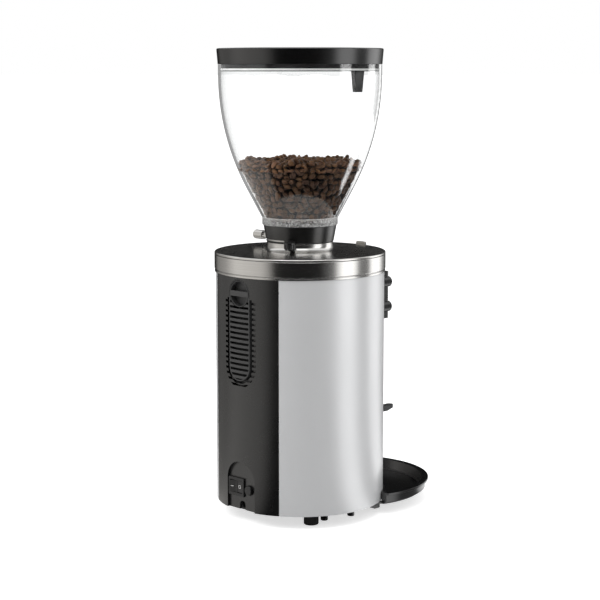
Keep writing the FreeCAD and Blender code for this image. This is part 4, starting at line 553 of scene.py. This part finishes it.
fill = bmesh.new()
shade = fill.loops.layers.float_color.new("tone")
level = BEAN_FLOOR
while level < BEAN_TOP:
    for inset in WALL_LAYERS:
        count = int(2 * math.pi * (hopper_inside(level)[0] - inset) / WALL_SPACING)
        start = draw.uniform(0.0, 1.0)
        for i in range(count):
            turn = 2 * math.pi * (i + start + either(WALL_SHIFT)) / count
            height = max(BEAN_FLOOR, level + either(WALL_WAVER))
            radius, lean = hopper_inside(height)
            place = laid(turn, radius - inset / math.cos(lean), height, math.pi / 2 + lean, WALL_TUMBLE)
            bean(fill, place, shade, WALL_PAINTED_SHADE)
    level += BEAN_STEP

# On top they lie at random in a low mound, some of them perched on others, painted lighter as painted light
# from above
MOUND_RISE = 0.0040
MOUND_INSET = 0.004
MOUND_LAYERS = (0.0, -0.0045)
MOUND_STEP = BEAN_STEP * 1.05
MOUND_SPACING = 2.1 * BEAN_WIDE
MOUND_MIDDLE = 0.002
MOUND_SHIFT = 0.3
MOUND_WAVER = 0.001
MOUND_TUMBLE = 0.7
MOUND_PAINTED_LIGHT = 1.15
PERCHED_SHARE = 0.16
PERCH_RISE = 0.0026
PERCH_TUMBLE = 0.5

mound_radius = hopper_inside(BEAN_TOP)[0] - MOUND_INSET
reach = mound_radius
while reach > MOUND_MIDDLE:
    count = max(1, int(2 * math.pi * reach / MOUND_SPACING))
    for layer in MOUND_LAYERS:
        for i in range(count):
            turn = 2 * math.pi * (i + either(MOUND_SHIFT)) / count
            crown = MOUND_RISE * (1 - (reach / mound_radius) ** 2)
            height = BEAN_TOP + crown + layer + either(MOUND_WAVER)
            perched = layer == 0.0 and draw.random() < PERCHED_SHARE
            tumble = MOUND_TUMBLE + PERCH_TUMBLE * perched
            bean(fill, laid(turn, reach, height + PERCH_RISE * perched, 0.0, tumble), shade, MOUND_PAINTED_LIGHT)
    reach -= MOUND_STEP

# The middle of the heap is one mass, arched over the throat, painted near-black as the shade deep among the
# beans
CORE_SPINS = 48
CORE_STEPS = 8
CORE_ARCH = 0.012
CORE_FOOT_INSET = 0.0060
CORE_FOOT_DROP = 0.0005
CORE_INSET = 0.0085
CORE_SHOULDER = 0.008
CORE_CROWN = 0.004
CORE_PAINTED_SHADE = (0.008, 0.004, 0.003, 1.0)


def hoop(form, out, height, count):
    """A ring of points about the body axis."""
    turns = [2 * math.pi * i / count for i in range(count)]
    return [form.verts.new(axis + Vector((out * math.cos(t), out * math.sin(t), height))) for t in turns]


core_profile = [(0.0, BEAN_FLOOR + CORE_ARCH),
                (hopper_inside(BEAN_FLOOR)[0] - CORE_FOOT_INSET, BEAN_FLOOR - CORE_FOOT_DROP)]
for step in range(CORE_STEPS + 1):
    height = BEAN_FLOOR + (BEAN_TOP - CORE_SHOULDER - BEAN_FLOOR) * step / CORE_STEPS
    core_profile.append((hopper_inside(height)[0] - CORE_INSET, height))
core_profile.append((0.0, BEAN_TOP - CORE_CROWN))
rings = [hoop(fill, out, height, CORE_SPINS if out else 1) for out, height in core_profile]
for low, high in zip(rings, rings[1:]):
    for i in range(CORE_SPINS):
        j = (i + 1) % CORE_SPINS
        corners = (low[i % len(low)], low[j % len(low)], high[j % len(high)], high[i % len(high)])
        face = fill.faces.new(list(dict.fromkeys(corners)))
        for corner in face.loops:
            corner[shade] = CORE_PAINTED_SHADE
bmesh.ops.recalc_face_normals(fill, faces=fill.faces)

# Roasted husk: each bean has its own tone, with specks and a dull oil film; the gaps between the beans are
# painted shade
HUSK_GLOSS = 0.22
HUSK_ROUGHNESS = (0.40, 0.60)
HUSK_WRINKLE = 0.0002
GAP_REACH = 0.006
GAP_LIMITS = (0.30, 0.85)
GAP_SHADE = (0.03, 0.03, 0.03)

roasted_beans, oil, husk = blank_skin("roasted_beans")
husk.inputs["Specular IOR Level"].default_value = HUSK_GLOSS
tone = add(oil, "VertexColor", layer_name="tone").outputs["Color"]
marks = use(oil, surface_grain, Grain=0.0014, Patch=0.006)
specks = tint(oil, marks["Mottle"], (0.7, 0.7, 0.7), (1.0, 0.97, 0.94))
open_sky = add(oil, "AmbientOcclusion", {"Distance": GAP_REACH}, samples=6, only_local=True).outputs["AO"]
painted_gap_shade = tint(oil, open_sky, GAP_SHADE, WHITE, GAP_LIMITS)
feed(oil, husk, {
    "Base Color": multiplied(oil, multiplied(oil, tone, specks), painted_gap_shade),
    "Roughness": ranged(oil, marks["Film"], NOISE_MIDDLE, HUSK_ROUGHNESS),
    "Normal": relief(oil, HUSK_WRINKLE, marks["Height"])})
new_piece("coffee_beans", fill, roasted_beans, "bean_hopper")

# Lid: a half-gloss black moulding with a plug that enters the hopper, and a wedge tab that hangs inside.
# A pale silicone seal sits in a groove of the plug.
SEAL_ABOVE_FOOT = 0.0010
SEAL_HEIGHT = 0.0022
SEAL_STAND = 0.0004
SEAL_SHOULDER = SEAL_STAND * 0.6
SEAL_SINK = 0.0002
SEAL_SPINS = 96
CLEAR_OF_LID = 0.5

dress(half_gloss, "hopper_lid", "lid_tab")
silicone = finish("silicone", (0.86, 0.86, 0.85), (0.92, 0.92, 0.91), (0.35, 0.45), grain=0.001, seam_shade_share=1.0)
seal_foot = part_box("hopper_lid")[0][2] + SEAL_ABOVE_FOOT
from_outside = axis + Vector((CLEAR_OF_LID, 0.0, seal_foot))
plug_radius = skin_of("hopper_lid").ray_cast(from_outside, Vector((-1.0, 0.0, 0.0)))[0].x
seal = bmesh.new()
seal_profile = ((-SEAL_SINK, 0.0), (SEAL_SHOULDER, 0.0), (SEAL_STAND, SEAL_HEIGHT / 2),
                (SEAL_SHOULDER, SEAL_HEIGHT), (-SEAL_SINK, SEAL_HEIGHT))
hoops = [hoop(seal, plug_radius + stand, seal_foot + height, SEAL_SPINS) for stand, height in seal_profile]
for low, high in zip(hoops, hoops[1:] + hoops[:1]):
    for i in range(SEAL_SPINS):
        j = (i + 1) % SEAL_SPINS
        seal.faces.new((low[i], low[j], high[j], high[i]))
bmesh.ops.recalc_face_normals(seal, faces=seal.faces)
new_piece("lid_seal", seal, silicone, "lid")

# Studio floor: a pale sheet of paper that runs far out under a white room. What the camera, a mirror or
# clear plastic sees of it is lifted nearly to white, and the object's shadow stays on it.
FLOOR_RINGS = (0.001, 1.0, 10.0, 150.0)
FLOOR_SIDES = 64
FLOOR_LIFT = 0.62
FIBRES_PER_METRE = 900.0


def seen_directly(tree):
    """1 for rays that see the white room: from the camera, a reflection or through glass."""
    rays = add(tree, "LightPath").outputs
    seen = worked(tree, "MAXIMUM", rays["Is Camera Ray"], rays["Is Glossy Ray"])
    return worked(tree, "MAXIMUM", seen, rays["Is Transmission Ray"])


def stage_disc(name, profile, sides, skin):
    """A turned stage piece about the body axis: radius and height pairs."""
    mesh = bpy.data.meshes.new(name)
    turns = [2 * math.pi * i / sides for i in range(sides)]
    points = [(out * math.cos(turn), out * math.sin(turn), rise) for out, rise in profile for turn in turns]
    faces = []
    for low in range(0, sides * (len(profile) - 1), sides):
        for i in range(sides):
            j = (i + 1) % sides
            faces.append((low + i, low + j, low + sides + j, low + sides + i))
    mesh.from_pydata(points, [], faces)
    mesh.materials.append(skin)
    disc = bpy.data.objects.new(name, mesh)
    disc.location = (0.0, BODY_AXIS_Y, 0.0)
    bpy.context.scene.collection.objects.link(disc)
    return disc


paper, sheet, unused = blank_skin("pale_floor")
sheet.nodes.remove(unused)
fibre = add(sheet, "TexNoise", {"Scale": FIBRES_PER_METRE, "Detail": 2.0}).outputs[0]
matt = add(sheet, "BsdfDiffuse", {0: tint(sheet, fibre, (0.86, 0.86, 0.86), (0.9, 0.9, 0.9))}).outputs[0]
glow = add(sheet, "Emission", {1: worked(sheet, "MULTIPLY", seen_directly(sheet), FLOOR_LIFT)}).outputs[0]
both = add(sheet, "AddShader", {0: matt, 1: glow}).outputs[0]
feed(sheet, sheet.nodes["Material Output"], {"Surface": both})
stage_disc("studio_floor", [(out, 0.0) for out in FLOOR_RINGS], FLOOR_SIDES, paper)

# Studio cards: light and dark cards that stand all round the object and lie on the floor near it. They
# show only in its gloss and in the gloss of the clear hopper, which mirrors cards of its own.
CARD_REACH = 1.2
CARD_TOP = 1.1
CARD_SPLIT = 0.30
CARD_LIFT = 0.0006
CARD_SIDES = 96
CARD_PEAK = 4.0
TABLE_NEAR = 0.05
LAMP_NEAR = 0.57
PAST_WALL = 1.5
WARM_GREY = (1.0, 0.975, 0.94)


def card_strips(tree, bearing, cards):
    """Cards side by side: where each begins, as a share of a turn, its level, and its hue if not white."""
    strips = add(tree, "ValToRGB", {0: bearing})
    stops = strips.color_ramp.elements
    while len(stops) < len(cards):
        stops.new(0.5)
    for stop, (start, level, *hue) in zip(stops, cards):
        stop.position = start
        stop.color = (*(level / CARD_PEAK * part for part in (hue[0] if hue else WHITE)), 1.0)
    return strips.outputs[0]


def card_skin(name, cards, in_clear):
    """The cards that gloss shows, and those the clear hopper mirrors. The view through it passes both."""
    skin, tree, unused = blank_skin(name)
    tree.nodes.remove(unused)
    place = add(tree, "TexCoord").outputs["Object"]
    bearing = add(tree, "TexGradient", {0: place}, gradient_type="RADIAL").outputs[1]
    rays = add(tree, "LightPath").outputs
    by_hopper = worked(tree, "MAXIMUM", rays["Is Transmission Ray"], rays["Is Singular Ray"])
    shown = add(tree, "Mix", {0: by_hopper, 6: card_strips(tree, bearing, cards),
                              7: card_strips(tree, bearing, in_clear)}, data_type="RGBA").outputs[2]
    shine = add(tree, "Emission", {0: shown, 1: CARD_PEAK}).outputs[0]
    mirrored = worked(tree, "MINIMUM", rays["Glossy Depth"], 1.0)
    walls = worked(tree, "SUBTRACT", rays["Transmission Depth"], mirrored)
    past_wall = worked(tree, "GREATER_THAN", walls, PAST_WALL)
    passed = add(tree, "BsdfTransparent").outputs[0]
    mixed = add(tree, "MixShader", {0: past_wall, 1: shine, 2: passed}).outputs[0]
    feed(tree, tree.nodes["Material Output"], {"Surface": mixed})
    return skin


dim_left = [(0.490, 0.26, WARM_GREY), (0.560, 0.40, WARM_GREY), (0.620, 0.80, WARM_GREY),
            (0.735, 0.66, WARM_GREY), (0.758, 0.45, WARM_GREY), (0.785, 0.012)]
wall_strips = [(0.0, 0.3), (0.030, 1.8), (0.080, 1.8), (0.104, 0.2), (0.156, 0.2), (0.170, 1.7),
               (0.228, 1.7), (0.262, 0.4), (0.306, 0.015), (0.458, 0.012), *dim_left, (0.945, 0.015),
               (0.988, 0.15)]
table_strips = [(0.0, 0.2), (0.034, 1.4), (0.080, 1.4), (0.100, 0.2), (0.156, 0.2), (0.170, 1.5),
                (0.228, 1.5), (0.262, 0.2), (0.292, 0.02), (0.458, 0.02), *dim_left]

# What the hopper mirrors: white to the right and grey to the left with a dark flag between them, two
# lamps across its rim, and on the table a lamp and a grey card
white_right = [(0.0, 0.8), (0.190, 1.1)]
lamp_pair = [(0.0, 0.05), (0.030, 0.1), (0.036, 4.0), (0.076, 4.0), (0.082, 0.1), (0.174, 0.1), (0.181, 2.6),
             (0.222, 2.6), (0.230, 0.2), (0.274, 0.2)]
flag_behind = [(0.284, 1.1), (0.314, 1.1), (0.326, 0.05), (0.383, 0.05), (0.400, 0.36), (0.560, 0.40),
               (0.700, 0.6)]
dark_near = [(0.740, 0.5), (0.750, 0.05)]
dim_right = [(0.0, 0.03), (0.157, 0.05)]
lamp_strip = [(0.160, 4.0), (0.190, 4.0), (0.194, 0.05)]
grey_left = [(0.292, 0.02), (0.458, 0.02), (0.481, 0.60, WARM_GREY), (0.690, 0.60, WARM_GREY), (0.700, 0.05),
             (0.786, 0.01)]
low_cards = card_skin("low_cards", wall_strips, white_right + flag_behind)
high_cards = card_skin("high_cards", wall_strips, lamp_pair + flag_behind + dark_near)
near_cards = card_skin("near_cards", table_strips, dim_right + grey_left)
far_cards = card_skin("far_cards", table_strips, dim_right + lamp_strip + grey_left)
for name, profile, skin in (
        ("studio_wall_low", [(CARD_REACH, CARD_LIFT), (CARD_REACH, CARD_SPLIT)], low_cards),
        ("studio_wall_high", [(CARD_REACH, CARD_SPLIT), (CARD_REACH, CARD_TOP)], high_cards),
        ("studio_table_near", [(TABLE_NEAR, CARD_LIFT), (LAMP_NEAR, CARD_LIFT)], near_cards),
        ("studio_table_far", [(LAMP_NEAR, CARD_LIFT), (CARD_REACH, CARD_LIFT)], far_cards)):
    cards = stage_disc(name, profile, CARD_SIDES, skin)
    cards.visible_camera = False
    cards.visible_diffuse = False
    cards.visible_shadow = False

# Studio light: an even white room, a softbox overhead and a smaller one on the left, which gives shape
# and doesn't show in gloss.
ROOM_LIGHT = 0.75
LAMP_AIM = 0.25

world = bpy.data.worlds.new("white_room")
bpy.context.scene.world = world
world.use_nodes = True
room = world.node_tree
walls = room.nodes["Background"]
walls.inputs["Color"].default_value = (*WHITE, 1.0)
feed(room, walls, {"Strength": ranged(room, seen_directly(room), WHOLE, (ROOM_LIGHT, 1.0))})

for name, place, size, watts, in_gloss in (("overhead_softbox", (-0.2, 0.3, 1.9), 1.2, 9.0, True),
                                           ("left_softbox", (0.5, 0.95, 0.95), 0.6, 5.0, False)):
    lamp = bpy.data.lights.new(name, "AREA")
    lamp.size = size
    lamp.energy = watts
    light = bpy.data.objects.new(name, lamp)
    light.location = place
    light.visible_glossy = in_gloss
    aim = axis + Vector((0.0, 0.0, LAMP_AIM)) - light.location
    light.rotation_euler = aim.to_track_quat("-Z", "Y").to_euler()
    bpy.context.scene.collection.objects.link(light)

# Camera: the photograph's view, from behind on the switch side, nearly level with the lid. Its place and
# lens were fitted to the outlines of the body, the cap and the hopper.
CAMERA_BEARING = math.radians(45.0)
CAMERA_AWAY = 1.8369
CAMERA_HEIGHT = 0.511
SIGHT_HEIGHT = 0.24678
LENS_LENGTH = 96.01
SENSOR_WIDTH = 36.0

lens = bpy.data.cameras.new("photo_camera")
lens.lens = LENS_LENGTH
lens.sensor_width = SENSOR_WIDTH
camera = bpy.data.objects.new("photo_camera", lens)
behind = Vector((-math.sin(CAMERA_BEARING), math.cos(CAMERA_BEARING), 0.0))
camera.location = axis + behind * CAMERA_AWAY + Vector((0.0, 0.0, CAMERA_HEIGHT))
sight = axis + Vector((0.0, 0.0, SIGHT_HEIGHT)) - camera.location
camera.rotation_euler = sight.to_track_quat("-Z", "Y").to_euler()
bpy.context.scene.collection.objects.link(camera)
bpy.context.scene.camera = camera
bpy.context.scene.view_settings.view_transform = "Standard"
